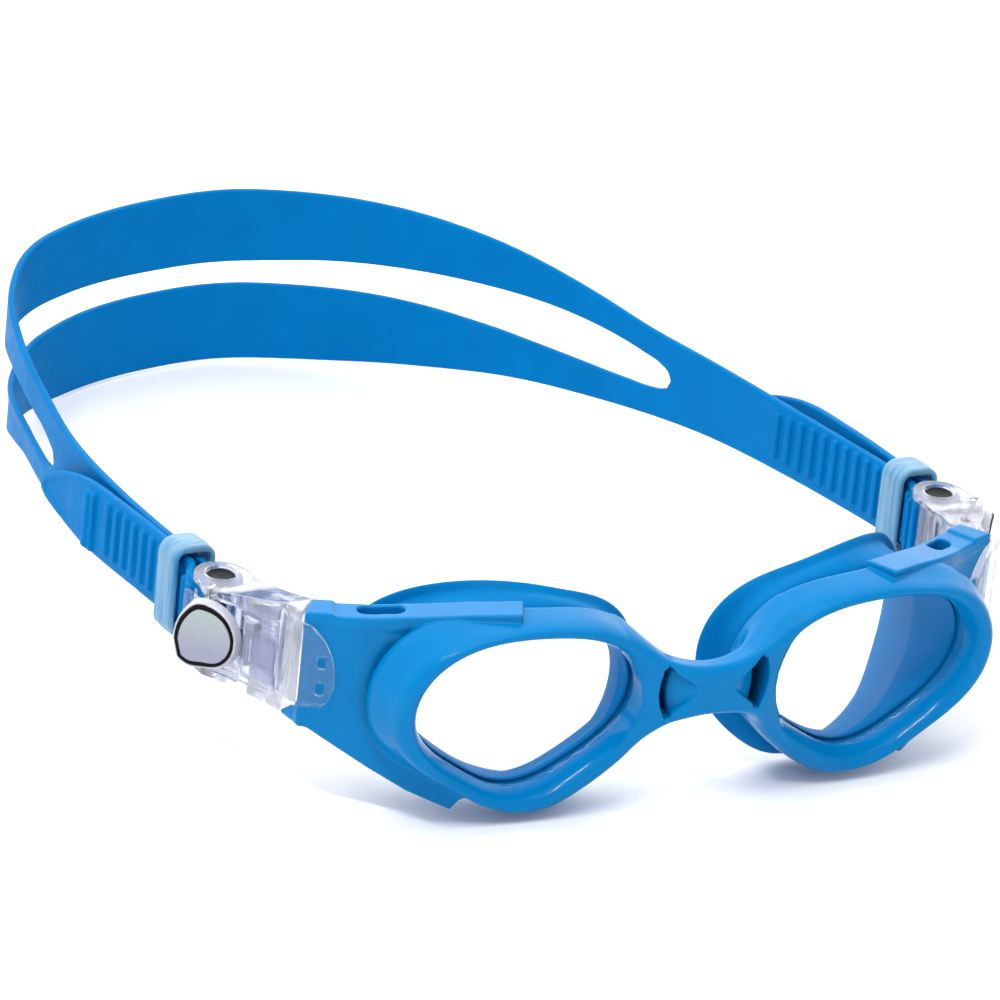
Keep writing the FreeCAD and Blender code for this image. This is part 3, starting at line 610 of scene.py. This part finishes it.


# frame and strap colours carry painted shade in their hollows, reaching 3 mm and 1.5 mm
BLUE = moulded("frame_blue", (0.0, 0.168, 0.43), 0.22, grain=2.0, depth=0.012, cloud=0.04, coat=0.12,
               specular=0.03, hollow=3.0)
SEAL = moulded("seal_blue", (0.0, 0.155, 0.41), 0.5, grain=3.0, depth=0.02, cloud=0.06, specular=0.03)
STRAP = moulded("strap_blue", (0.0, 0.15, 0.415), 0.42, grain=2.6, depth=0.015, cloud=0.05, specular=0.02,
                hollow=1.5)
KEEPER = streaked_rubber("keeper_rubber", (0.16, 0.36, 0.53), (0.03, 0.25, 0.50), 0.4)
LENS = clear_plastic("lens_polycarbonate", (0.9, 0.95, 1.0), 0.015, 1.45, 0.004, alpha=0.025)
CLEAR = clear_plastic("buckle_polycarbonate", (0.52, 0.55, 0.68), 0.05, 1.5, 0.02, alpha=0.85)
CLIP = clear_plastic("clip_polycarbonate", (0.92, 0.95, 1.0), 0.05, 1.5, 0.02, alpha=0.46)
PAD = moulded("pad_white", (0.62, 0.63, 0.72), 0.25, grain=2.0, depth=0.01, cloud=0.03, coat=0.3,
              transmission=0.3)
BLACK = moulded("roller_black", (0.006, 0.007, 0.009), 0.5, grain=3.0, depth=0.01, cloud=0.2, specular=0.06)
INK = moulded("badge_outline", (0.006, 0.006, 0.008), 0.5, grain=6.0, depth=0.006, cloud=0.2, specular=0.04)
STEEL = brushed("pin_steel", (0.62, 0.62, 0.64), 0.28)
FLOOR = moulded("studio_floor", (0.93, 0.93, 0.935), 0.6, grain=0.5, depth=0.005, cloud=0.004,
                cloud_scale=0.01)

NODE_LOOK = {"frame": BLUE, "skirt": SEAL, "strap": STRAP, "lens": LENS, "buckle_body": CLEAR,
             "keeper": KEEPER, "strap_roller": BLACK, "release_lever": PAD, "button_badge": INK}
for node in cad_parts.values():
    kind = node.name.replace("right_", "").replace("left_", "")
    node.data.materials.clear()
    node.data.materials.append(NODE_LOOK.get(kind, STEEL))

points, faces = level_set(frame_field, (-67, -52, -33), (67, -19, 12), 0.35)
make_object("frame_moulding", pressed(points), faces, BLUE, "goggles", ["frame"])


# ---- face seals ------------------------------------------------------------------------------------
def seal_rows():
    """Section of the seal at each step round the eye, from the lens back to the flared edge."""
    rows = []
    for angle in np.arange(48) * 2 * math.pi / 48:
        cosine, double, sine = math.cos(angle), math.cos(2 * angle), math.sin(angle)
        rim = (20.9 - 1.9 * cosine + 3.1 * double + 0.49 * bump(angle, 75, 22) - 1.7 * bump(angle, 128, 24)
               + 1.7 * bump(angle, -118, 20))
        depth = -26.6 + 7.3 * cosine + 4.0 * double
        throat = 16.2 - 1.5 * cosine + 1.2 * double
        front, rear = SEAT - 1.8, ring_rear(angle)
        face = [(throat, depth - 2.6), (rim - 1.6, depth - 0.2), (rim, depth + 0.3), (rim + 0.1, depth - 0.6),
                (rim - 1.2, depth - 1.5), (0.5 * (rim + throat) + 0.4, depth - 2.6)]
        neck = [(2.8, rear - 2.1), (1.9, rear - 1.4), (0.4, rear - 1.3), (0.5, rear + 1.5),
                (0.8, front - 1.0), (0.8, front)]
        row = [lens_place(angle, 0.2, front), lens_place(angle, 0.2, -4.4)]
        row += [np.array([EYE[0] + r * cosine, y, EYE[2] + r * sine]) for r, y in face]
        row += [lens_place(angle, offset, ahead) for offset, ahead in neck]
        rows.append(row)
    return rows


def lens_place(angle, offset, ahead):
    """Point at an offset outside the lens edge and a distance in front of the lens."""
    radius = lens_radius(angle) + offset
    return EYE + ACROSS * (radius * math.cos(angle)) + UP * (radius * math.sin(angle)) + FORWARD * ahead


def lens_mesh(count=144):
    """Clear plate with a softened edge."""
    half = [(-14.0, 0), (-7.0, 0), (-2.0, 0), (MOUTH + 0.2, 0), (MOUTH + 0.42, -0.06), (MOUTH + 0.5, -0.2)]
    profile = half + [(offset, -LENS_THICK - ahead) for offset, ahead in half[::-1]]
    points = [EYE + FORWARD * SEAT]
    for offset, ahead in profile:
        for angle in np.arange(count) * 2 * math.pi / count:
            points.append(lens_place(angle, max(offset, -0.9 * lens_radius(angle)), SEAT + ahead))
    points.append(EYE + FORWARD * (SEAT - LENS_THICK))
    return np.array(points), capped(len(profile), count)


points, faces = wrapped(seal_rows(), (6, 6))
pair("seal", points, faces, SEAL, "goggles", ["skirt"], on_wing=True)
points, faces = lens_mesh()
pair("lens_plate", points, faces, LENS, "goggles", ["lens"])

# ---- strap -----------------------------------------------------------------------------------------
ROLLER_X = 68.0
HALF_THICK = 0.65
FOLD_RADIUS = 3.1
END_PLAN = ([(68.85, 72), (69.2, 60), (69.5, 46), (69.45, 32), (69.35, 20), (69.35, 11), (69.4, 8.6),
             (69.85, 7.2), (71.0, 5.4), (71.75, 3.7), (71.6, 2.0), (71.2, 0.8)]
            + [(ROLLER_X + FOLD_RADIUS * math.cos(a), -FOLD_RADIUS * math.sin(a))
               for a in np.linspace(0, math.pi, 13)]
            + [(64.95, 1.0), (65.5, 3.2), (66.5, 5.6), (67.2, 7.6), (67.35, 9.4)])
LEFT_PLAN = [(-67.35, 16), (-66.9, 28), (-66.5, 42), (-66.0, 56), (-65.2, 68), (-63.6, 81), (-61.9, 93),
             (-59.6, 104), (-56.8, 113.2), (-53.4, 120), (-49.0, 126.5), (-43.2, 132.3), (-37.0, 136.6),
             (-27.0, 141.8), (-16.0, 145.2)]


def loop_half(y):
    """Half width of the loop's right side at a distance back."""
    share = np.clip((y - 16.0) / 130.0, 0, 1)
    return 67.35 * (1 - share ** 2) ** 0.526


RIGHT_PLAN = [(float(loop_half(y)), y) for y in (16, 22, 32, 46, 62, 78, 94, 108, 120, 130, 138, 143)]
PER_POINT = 16
PLAN = trace(END_PLAN + RIGHT_PLAN + [(2.0, 146.7)] + LEFT_PLAN[::-1]
             + [(-x, y) for x, y in END_PLAN[::-1]], PER_POINT)
WAY = np.concatenate([[0], np.cumsum(np.linalg.norm(np.diff(PLAN, axis=0), axis=1))])
SIDEWAYS = np.gradient(PLAN, WAY, axis=0)
SIDEWAYS = np.stack([-SIDEWAYS[:, 1], SIDEWAYS[:, 0]], 1) / np.linalg.norm(SIDEWAYS, axis=1)[:, None]
FOLD_START, FOLD_END = WAY[12 * PER_POINT], WAY[24 * PER_POINT]
MAIN_START = WAY[len(END_PLAN) * PER_POINT]
LENGTH = WAY[-1]

END_TOP = [(-9, -1.1), (4, -1.1), (12, -1.2), (20, -1.5), (26, -1.85), (32, -2.3), (38, -2.85), (44, -3.4),
           (50, -4.3)]
END_FOOT = [(-9, -13.3), (4, -13.3), (12, -13.75), (22, -14.5), (32, -15.15), (42, -15.8), (50, -16.1)]
TAIL_OUTLINE = trace([(26, -1.85), (32, -2.3), (38, -2.85), (44, -3.4), (48, -3.95), (52, -4.75),
                      (56, -5.85), (60, -7.2), (64, -9.0), (66.7, -10.7), (68.2, -12.2), (68.5, -13.5),
                      (67.2, -14.4), (64, -15.1), (58.7, -15.6), (50, -16.1), (42, -15.8), (32, -15.15),
                      (26, -14.7), (18, -14.2)], 6)
TAIL_OUTLINE = np.concatenate([TAIL_OUTLINE, [(18, -1.4)]])
# both sides of the main run start alike; 1 is the right side and -1 the left
BACK_TOP, BACK_FOOT = [(143, 3.9), (150, 4.0)], [(143, -29.0), (150, -29.4), (160, -29.4)]
FRONT_TOP = [(9, -1.43), (16, -1.88), (30, -3.1), (46, -4.0), (70, -4.0)]
MAIN_TOP = {1: FRONT_TOP + [(86, -3.2), (99, -1.0), (117, 2.0), (132, 3.5)] + BACK_TOP,
            -1: FRONT_TOP + [(86, -2.3), (99, -0.6), (117, 2.0), (132, 3.9)] + BACK_TOP}
MAIN_FOOT = {1: [(9, -13.6), (16, -14.1), (30, -15.4), (46, -16.6), (70, -18.1), (97, -21.1), (113, -23.2),
                 (130, -26.6)] + BACK_FOOT,
             -1: [(9, -13.6), (16, -14.1), (30, -15.5), (46, -16.8), (70, -18.2), (97, -20.2), (113, -23.4),
                  (128, -27.5), (138, -29.5)] + BACK_FOOT[1:]}
SLIT_BACK = [(147, -10.1), (152, -10.1), (165, -10.1), (165, -14.5), (152, -14.5), (147, -14.5)]
SLIT = {1: [(79, -11.4), (79.6, -10.0), (81.6, -9.0), (86, -8.2), (92, -7.4), (106, -6.6), (120, -7.1),
            (132, -8.0), (140, -8.9)] + SLIT_BACK + [(132, -14.2), (120, -14.6), (104, -15.1), (90, -14.8),
                                                     (84, -14.3), (81, -13.6), (79.4, -12.6)],
        -1: [(73.2, -12.0), (73.9, -10.4), (76.5, -9.4), (80, -8.6), (86, -8.0), (101, -6.9), (114, -7.4),
             (128, -8.8), (140, -9.6)] + SLIT_BACK + [(134, -15.2), (120, -15.5), (104, -14.8), (86, -14.3),
                                                      (78, -14.0), (74.6, -13.2)]}
RIB_PITCH = 3.5
RIB_YS = 11.5 + RIB_PITCH * np.arange(12)
STOP_RIB_Y = 46.3


def path_at(y, start, stop):
    """Distance along the strap's path at a given y, within one stretch of it."""
    inside = (WAY >= start) & (WAY <= stop)
    order = np.argsort(PLAN[inside, 1])
    return float(np.interp(y, PLAN[inside, 1][order], WAY[inside][order]))


def rib_list():
    """Ribs of the right-hand end: distance along the path, lowest and highest point, height and width."""
    tail, main = (0, FOLD_START - 3), (MAIN_START - 6, MAIN_START + 40)

    def rib(y, stretch, below, above, height, width, at=None):
        """Rib across the band, with a margin to the band's lower and upper line read at y or at a given y."""
        at = y if at is None else at
        return (path_at(y, *stretch), along_line(END_FOOT, at) + below, along_line(END_TOP, at) - above,
                height, width)

    ribs = [rib(y, tail, 1.9, 1.3, 0.7, 1.7) for y in RIB_YS[:9]]
    ribs.append(rib(STOP_RIB_Y, tail, 0.4, 1.3, 0.75, 3.4, at=46))
    ribs.append(rib(STOP_RIB_Y + 0.6, tail, 0.6, 1.5, 1.2, 1.7, at=46))
    round_fold = [-2.4] + [2.93 * k - 1.47 for k in range(1, 7)]
    ribs += [(FOLD_START + s, -12.2, -2.4, 0.7, 1.2) for s in round_fold]
    ribs.append((FOLD_START - 5.4, -12.2, -2.4, 0.7, 1.3))
    return ribs + [rib(y, main, 1.6, 1.6, 0.7, 1.7) for y in RIB_YS]


def strap_field(q):
    """Strap in its own coordinates: distance along it, height, and offset towards its ribbed face."""
    s, h, t = q
    x, y = np.interp(s, WAY, PLAN[:, 0]), np.interp(s, WAY, PLAN[:, 1])
    right = smooth(-9.0, 9.0, x)
    on_main = (s > MAIN_START) & (s < LENGTH - MAIN_START)
    from_end = np.minimum(s, LENGTH - s)
    # just past the fold the inner layer changes over to the main run's heights
    run = smooth(FOLD_END, MAIN_START, from_end)

    def height_of(line):
        """Height of the band's upper or lower line."""
        main, end = np.interp(y, *MAIN_EDGE[line, 1]), np.interp(y, *END_EDGE[line])
        both = right * main + (1 - right) * np.interp(y, *MAIN_EDGE[line, -1])
        return np.where(on_main, both, end + run * (main - end))

    edge = np.maximum(h - height_of("top"), height_of("foot") - h)
    tail = (from_end < FOLD_START) & (y > 26)
    edge[tail] = polygon(y[tail], h[tail], TAIL_OUTLINE)
    # shallow thumb recess inside the tail's tip
    dish = np.where(tail, 0.28 * smooth(54.0, 58.5, y) * smooth(-1.0, -1.6, edge), 0)
    slab = np.maximum(t - (HALF_THICK - dish), -HALF_THICK - t)
    band = meet(slab, edge, 0.4)
    for side in (1, -1):
        near = on_main & (x * side > -0.01) & (y > 70)
        band[near] = carve(band[near], polygon(y[near], h[near], SLIT_LINE[side]), 0.4)
    for at, low, high, height, width in RIBS:
        near = np.abs(from_end - at) < width + 1.0
        p = (from_end[near], h[near], t[near])
        half = (0.5 * width, 0.5 * (high - low), 0.5 * (height + 0.6))
        bar = rounded_box(p, (at, 0.5 * (high + low), HALF_THICK - 0.3 + 0.5 * height), half, 0.45)
        band[near] = join(band[near], bar, 0.25)
    return band


def xy(points):
    """Smooth line through points as two arrays, for np.interp."""
    line = trace(points)
    return line[:, 0], line[:, 1]


MAIN_EDGE = {("top", k): xy(MAIN_TOP[k]) for k in (1, -1)} | {("foot", k): xy(MAIN_FOOT[k]) for k in (1, -1)}
END_EDGE = {"top": xy(END_TOP), "foot": xy(END_FOOT)}
SLIT_LINE = {k: trace(SLIT[k], 5, closed=True) for k in (1, -1)}
RIBS = rib_list()


def strap_mesh():
    """Strap built flat along its path, finer where it is ribbed, then laid on the path."""
    fine, coarse = ((0.28, 1.0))
    ribbed = MAIN_START + 42
    along = np.concatenate([np.arange(1.0, ribbed, fine), np.arange(ribbed, LENGTH - ribbed, coarse),
                            np.arange(LENGTH - ribbed, LENGTH - 1.0, fine)])
    high = np.arange(-31.6, 6.0, 0.38)
    thick = np.arange(-1.1, 2.5, 0.24)
    grid = np.meshgrid(along, high, thick, indexing="ij")
    points, faces = surface_nets(strap_field(grid))
    q = np.stack([np.interp(points[:, k], np.arange(len(a)), a)
                  for k, a in enumerate((along, high, thick))], 1)
    q = settle(q, strap_field, 0.12, 3)
    # the left lower band leans in towards the head
    x, y = (np.interp(q[:, 0], WAY, PLAN[:, k]) for k in (0, 1))
    lean = 1.5 * smooth(-9, -19, q[:, 1]) * smooth(76, 98, y) * smooth(141, 125, y) * (x < 0)
    place = [np.interp(q[:, 0], WAY, PLAN[:, k]) + (q[:, 2] + lean) * np.interp(q[:, 0], WAY, SIDEWAYS[:, k])
             for k in (0, 1)]
    # length, height, thickness is left-handed against x, y, z here
    return np.stack([place[0], place[1], q[:, 1]], 1), faces[:, ::-1]


points, faces = strap_mesh()
make_object("head_strap", points, faces, STRAP, "goggles", ["strap"])


# ---- keepers ---------------------------------------------------------------------------------------
KEEPER_X, KEEPER_HALF = 68.35, 3.35
FALL = 0.065       # slope of the strap under the keepers


def keeper_field(p, middle_y):
    """Rubber loop, its walls rounded, drawn level and then tilted with the strap."""
    x, y, z = p
    along = y - middle_y
    drop = z + FALL * (y - 4.0)
    outer = rounded_box((x, drop, 0 * x), (KEEPER_X, -7.0, 0), (3.95, 8.45, 9), 2.8)
    inner = rounded_box((x, drop, 0 * x), (KEEPER_X, -7.1, 0), (2.68, 6.95, 9), 1.1)
    loop = carve(outer, inner, 0.45)
    waist = 0.12 * smooth(0, 3.1, np.abs(along))
    return meet(loop + waist, np.abs(along) - KEEPER_HALF, 0.5)


for side, middle_y in (("right", 10.6), ("left", 12.4)):
    points, faces = level_set(lambda p: keeper_field(p, middle_y), (63, middle_y - 4.6, -17),
                              (73.6, middle_y + 4.6, 2.5), 0.22)
    if side == "left":
        points, faces = flipped(points, faces)
    make_object(side + "_keeper_loop", points, faces, KEEPER, side + "_keeper", [side + "_keeper"])

# ---- buckles ---------------------------------------------------------------------------------------
PLATE_TOP, PLATE_FOOT, BODY_FOOT = -0.9, -13.5, -14.9
BOSS_RADIUS = 4.55
LEVER_PIN = (72.0, -5.0)
PAD_CENTRE = np.array([74.5, -8.3, -7.1])
PAD_ALONG = np.array([math.cos(math.radians(54.4)), math.sin(math.radians(54.4)), 0])
PAD_OUT = np.array([PAD_ALONG[1], -PAD_ALONG[0], 0])
BODY_PLAN = [(61.4, -26.5), (66.2, -26.5), (67.0, -21.5), (70.9, -10.5), (73.3, -6.2), (73.4, -4.0),
             (72.2, 0.0), (63.6, 0.0), (62.0, -8.0), (61.3, -18.0)]
ROOM_PLAN = trace([(63.6, -17.0), (64.6, -19.3), (66.0, -19.3), (68.3, -12.6), (67.6, -8.4), (65.2, -7.4),
                   (63.8, -10.5)], 4, closed=True)
ROOT_PLAN = [(66.25, -27.6), (67.0, -27.0), (67.8, -24.4), (67.0, -21.0), (65.4, -21.8), (65.9, -24.6)]
TOP_LINE = xy([(-30.0, 4.7), (-25.3, 4.6), (-22.0, 4.35), (-18.0, 3.2), (-12.0, 1.6), (-7.0, 0.55),
               (-3.0, 0.3), (7.0, 0.3)])
TONGUE = trace([(2.6, 3.6), (0.8, 3.4), (-1.5, 1.6), (-3.6, -1.6), (-4.4, -4.6), (-4.3, -8.8),
                (-3.2, -10.6), (-0.8, -11.0), (2.6, -11.2)], 5)


def side_wall(p, plan, low, high, r):
    """Upright prism over a plan polygon with rounded ends."""
    return meet(polygon(p[0], p[1], plan), np.abs(p[2] - 0.5 * (low + high)) - 0.5 * (high - low), r)


def from_pin(p):
    """Distance from the lever pin's axis."""
    return np.hypot(p[0] - LEVER_PIN[0], p[1] - LEVER_PIN[1])


def pad_place(p):
    """Place along the pad, up it and in front of its middle plane."""
    d = [p[i] - PAD_CENTRE[i] for i in range(3)]
    return (d[0] * PAD_ALONG[0] + d[1] * PAD_ALONG[1], d[2], d[0] * PAD_OUT[0] + d[1] * PAD_OUT[1])


def tongue_field(p):
    """D-shaped clip over the wing, with a raised edge and two small windows."""
    z = p[2]
    along, out = wing_place(p, WING_REAR)
    flat = polygon(along, z, TONGUE)
    plate = meet(np.abs(out - 0.62) - 0.5, flat, 0.3)
    rim = meet(np.abs(out - 0.8) - 0.66, np.abs(flat + 0.35) - 0.35, 0.25)
    plate = join(plate, np.maximum(rim, along - 1.2), 0.2)
    for height in (-3.3, -8.0):
        window = rounded_box((along, z, out), (-2.3, height, 0.6), (0.7, 1.15, 2.0), 0.3)
        plate = carve(plate, window, 0.15)
    return plate


def body_field(p):
    """Clear housing of one buckle."""
    x, y, z = p
    ceiling = np.interp(y, *TOP_LINE) - z
    plan = polygon(x, y, BODY_PLAN)
    boss = np.hypot(x - ROLLER_X, y) - BOSS_RADIUS
    shell = join(plan, boss, 1.5)
    front = before_buckle(p)
    shell = meet(shell, front, 0.45)
    shell = meet(shell, -ceiling, 0.35)
    shell = meet(shell, BODY_FOOT - z, 0.35)
    # room inside: between the plates, short of the outer skin and the front rim
    window = np.minimum(np.hypot(x - ROLLER_X, y) - 5.3, np.maximum(np.abs(x - 69.0) - 7.0, -y))
    window = np.maximum(window, np.abs(z - 0.5 * (PLATE_TOP + PLATE_FOOT)) - 0.5 * (PLATE_TOP - PLATE_FOOT))
    shell = carve(shell, window, 0.25)
    room = meet(polygon(x, y, ROOM_PLAN), np.abs(z + 6.2) - 6.2 - 0.25 * np.maximum(0, -8 - y) * (z > 0), 0.6)
    core = np.minimum(barrel_field(p), block_field(p))
    shell = carve(shell, carve(room, core, 0.3), 0.3)
    # long slot in the top wall ahead of the boss
    slot = rounded_box(((x - 64.9) * 0.93, y, z), (0, -16.8, 3.3), (0.6, 3.4, 1.3), 0.35)
    shell = carve(shell, slot, 0.2)
    # step behind the front rim makes it stand proud of the outer wall
    skin = np.maximum(np.maximum(-plan - 0.3, front + 2.6), np.maximum(y + 10.5, np.abs(z + 6.6) - 6.4))
    shell = carve(shell, skin, 0.2)
    shell = carve(shell, lever_room_field(p), 0.2)
    shell = carve(shell, np.hypot(x - ROLLER_X, y) - 2.6, 0.25)
    shell = carve(shell, np.maximum(from_pin(p) - 0.62, BODY_FOOT + 0.7 - z), 0.05)
    root = side_wall(p, ROOT_PLAN, -11.0, 3.4, 0.3)
    return join(shell, root, 0.4)


def barrel_field(p):
    """Solid round bar lying along the upper part of the room."""
    x, y, z = p
    middle_x = 66.2 + 0.30 * (y + 13.0)
    across = np.hypot(x - middle_x - 0.3, z + 1.2) - 2.2
    return meet(across, np.abs(y + 14.0) - 5.0, 0.6)


def block_field(p):
    """Rounded block with a flat window on its face, low in the room."""
    x, y, z = p
    return rounded_box((x - 0.30 * (y + 15.0), y, z), (66.1, -15.6, -7.6), (1.7, 3.6, 3.1), 1.2)


def lever_room_field(p):
    """Pocket that leaves the lever free to swing."""
    a, _, out = pad_place(p)
    room = np.maximum(-out - 4.0, np.maximum(-6.6 - a, a - 9.5))
    hub = from_pin(p) - 1.85
    rear = np.maximum(np.maximum(71.0 - p[0], -7.0 - p[1]), p[0] - 77.0)
    between = np.abs(p[2] - 0.5 * (PLATE_TOP + PLATE_FOOT)) - 0.5 * (PLATE_TOP - PLATE_FOOT)
    return np.maximum(np.minimum(np.minimum(room, hub), rear), between)


points, faces = level_set(body_field, (60, -31, -15.8), (75, 5.5, 5.6), 0.2)
pair("buckle_housing", points, faces, CLEAR, "goggles", ["buckle_body"], on_wing=True)
points, faces = level_set(tongue_field, (59.5, -32, -12.6), (69.5, -25.5, 5), 0.16)
pair("buckle_clip", points, faces, CLIP, "goggles", on_wing=True)

# ---- levers ----------------------------------------------------------------------------------------
PAD_LINE = trace([(5.5, -1.9), (4.4, 2.6), (1.6, 5.35), (-1.2, 5.3), (-3.94, 3.8), (-5.5, 0.6), (-5.0, -2.3),
                  (-3.3, -4.3), (0, -5.3), (3.0, -5.6), (4.9, -4.6)], 6, closed=True)


def pad_face(a, up):
    """Height of the pad's domed face in front of its middle plane."""
    return 0.1 - 0.012 * (a ** 2 + up ** 2)


def pad_field(p):
    """Push pad with a domed skirt and a shallow seat for the inlay."""
    a, up, out = pad_place(p)
    edge = polygon(a, up, PAD_LINE)
    face = pad_face(a, up)
    pad = meet(edge - 0.2 - 0.3 * np.clip(-out, 0, 1.6), out - face, 0.4)
    pad = meet(pad, -2.15 - out, 0.3)
    seat = np.maximum(edge - 0.02, face - 0.28 - out)
    return carve(pad, seat, 0.08)


def arm_field(p):
    """The lever's hub, web and toothed arm, behind its pad."""
    low, high = PLATE_FOOT + 0.2, PLATE_TOP - 0.2
    hub = meet(from_pin(p) - 1.3, np.abs(p[2] - 0.5 * (low + high)) - 0.5 * (high - low), 0.2)
    web = side_wall(p, WEB, low + 2.4, high - 2.4, 0.25)
    arm = side_wall(p, ARM, low + 1.2, high - 1.2, 0.2)
    lever = carve(join(join(hub, web, 0.4), arm, 0.3), from_pin(p) - 0.65, 0.05)
    # its foot ends just inside the pad's back
    return np.maximum(lever, pad_place(p)[2] + 2.0)


FOOT = PAD_CENTRE - PAD_OUT * 1.8 + PAD_ALONG * 1.0
WEB = [(71.1, -5.9), (72.9, -4.1), tuple((FOOT + PAD_ALONG * 2.4)[:2]), tuple((FOOT - PAD_ALONG * 1.6)[:2])]
ARM = [(72.4, -5.2), (73.3, -5.2), (74.3, -1.2), (74.1, 0.9), (72.3, 0.5), (72.1, 0.0), (72.3, -0.5),
       (73.1, -0.9), (73.0, -2.6)]


def badge_field(p, inner, outer, height):
    """Thin inlay over the pad's face between two offsets of its outline."""
    a, up, out = pad_place(p)
    edge = polygon(a, up, PAD_LINE)
    face = pad_face(a, up)
    flat = edge + outer
    if inner is not None:
        # the outline narrows towards the front
        flat = np.maximum(flat, 0.07 * np.clip(-a, 0, 5) - edge - inner)
    return meet(flat, np.abs(out - face + 0.25 - height) - 0.25, 0.06)


step = 0.18
points, faces = level_set(pad_field, (68.8, -14.8, -14.2), (78.4, 1.8, 0.2), step)
pair("push_pad", points, faces, PAD, "SIDE_lever", ["release_lever"])
points, faces = level_set(arm_field, (68.8, -14.8, -14.2), (76.4, 1.8, 0.2), step)
pair("lever_arm", points, faces, CLIP, "SIDE_lever")
low, high = (69.5, -14.0, -13.4), (78.4, -2.6, 0.0)
BADGE_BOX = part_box("right_button_badge")
SILVER = inlay("badge_silver", (0.30, 0.355, 0.35), (0.225, 0.235, 0.335),
               BADGE_BOX[0].z, BADGE_BOX[1].z, 0.3)
points, faces = level_set(lambda p: badge_field(p, None, 0.5, 0.02), low, high, step)
pair("badge_face", points, faces, SILVER, "SIDE_lever", ["button_badge"])
points, faces = level_set(lambda p: badge_field(p, 0.85, 0.05, 0.05), low, high, step * 0.7)
pair("badge_outline", points, faces, INK, "SIDE_lever")

# ---- rollers and pins ------------------------------------------------------------------------------
points, faces = lathe([(0, -14.2), (1.9, -14.2), (2.35, -14.0), (2.4, -13.7), (2.4, -0.5), (2.38, -0.2),
                       (2.2, -0.04), (2.0, 0.0), (1.85, -0.06), (1.7, -0.14), (0.8, -0.16), (0, -0.16)],
                      (ROLLER_X, 0.0))
pair("roller", points, faces, BLACK, "SIDE_roller", ["strap_roller"])
points, faces = lathe([(0, -14.2), (0.5, -14.2), (0.58, -14.1), (0.6, -13.9), (0.6, 0.0), (0.55, 0.2),
                       (0.4, 0.3), (0, 0.32)], LEVER_PIN, 32)
pair("pivot_pin", points, faces, STEEL, "goggles", ["lever_pin"])

# ---- floor, light and camera -----------------------------------------------------------------------
scene = bpy.context.scene
mesh = bpy.data.meshes.new("floor")
mesh.from_pydata([(-3, -3, 0), (3, -3, 0), (3, 3, 0), (-3, 3, 0)], [], [(0, 1, 2, 3)])
mesh.materials.append(FLOOR)
floor = bpy.data.objects.new("floor", mesh)
scene.collection.objects.link(floor)

world = bpy.data.worlds.new("studio")
world.use_nodes = True
sky = world.node_tree
sky.nodes["Background"].inputs["Color"].default_value = (1, 1, 1, 1)
way = sky.nodes.new("ShaderNodeTexCoord")
axes = sky.nodes.new("ShaderNodeSeparateXYZ")
sky.links.new(way.outputs["Generated"], axes.inputs["Vector"])
parts = []
for axis, low, high, top in (("Y", 0.1, 0.8, 1.0), ("Z", -0.02, 0.15, 2.0)):
    part = sky.nodes.new("ShaderNodeMapRange")
    part.inputs["From Min"].default_value, part.inputs["From Max"].default_value = low, high
    part.inputs["To Max"].default_value = top
    sky.links.new(axes.outputs[axis], part.inputs["Value"])
    parts.append(part.outputs["Result"])
glow = sky.nodes.new("ShaderNodeMath")
glow.operation = "MULTIPLY_ADD"
glow.inputs[2].default_value = 0.76
for part, socket in zip(parts, glow.inputs):
    sky.links.new(part, socket)
sky.links.new(glow.outputs["Value"], sky.nodes["Background"].inputs["Strength"])
scene.world = world

AZIMUTH, ELEVATION, ROLL = math.radians(-28.83), math.radians(23.40), math.radians(6.00)
CAMERA_FAR, CAMERA_SIDE, CAMERA_UP = 1400.0, -14.76, 5.37
back = Vector((math.sin(AZIMUTH) * math.cos(ELEVATION), -math.cos(AZIMUTH) * math.cos(ELEVATION),
               math.sin(ELEVATION)))
level = Vector((math.cos(AZIMUTH), math.sin(AZIMUTH), 0))
upward = back.cross(level)
side_way = level * math.cos(ROLL) + upward * math.sin(ROLL)
up_way = upward * math.cos(ROLL) - level * math.sin(ROLL)
place = ORIGIN + (back * CAMERA_FAR + side_way * CAMERA_SIDE + up_way * CAMERA_UP) * MM
camera_data = bpy.data.cameras.new("camera")
camera_data.sensor_width = 36.0
camera_data.lens = 299.87
camera_data.clip_start, camera_data.clip_end = 0.1, 20
camera = bpy.data.objects.new("camera", camera_data)
scene.collection.objects.link(camera)
camera.matrix_world = Matrix([[axis[i] for axis in (side_way, up_way, back, place)] for i in range(3)]
                             + [[0, 0, 0, 1]])
scene.camera = camera
scene.view_settings.view_transform = "Standard"


def area_light(name, position, target, size, power):
    """Soft rectangular lamp aimed at a point."""
    data = bpy.data.lights.new(name, "AREA")
    data.shape = "RECTANGLE"
    data.size, data.size_y = size
    data.energy = power
    lamp = bpy.data.objects.new(name, data)
    scene.collection.objects.link(lamp)
    lamp.location = position
    lamp.rotation_mode = "QUATERNION"
    lamp.rotation_quaternion = (Vector(target) - Vector(position)).to_track_quat("-Z", "Y")


area_light("top_light", (-0.1, -0.1, 0.9), (0, 0, 0), (0.6, 0.6), 2.2)
area_light("strip_light", (-0.36, -0.36, 0.77), (0, -0.08, 0), (0.5, 0.02), 4)
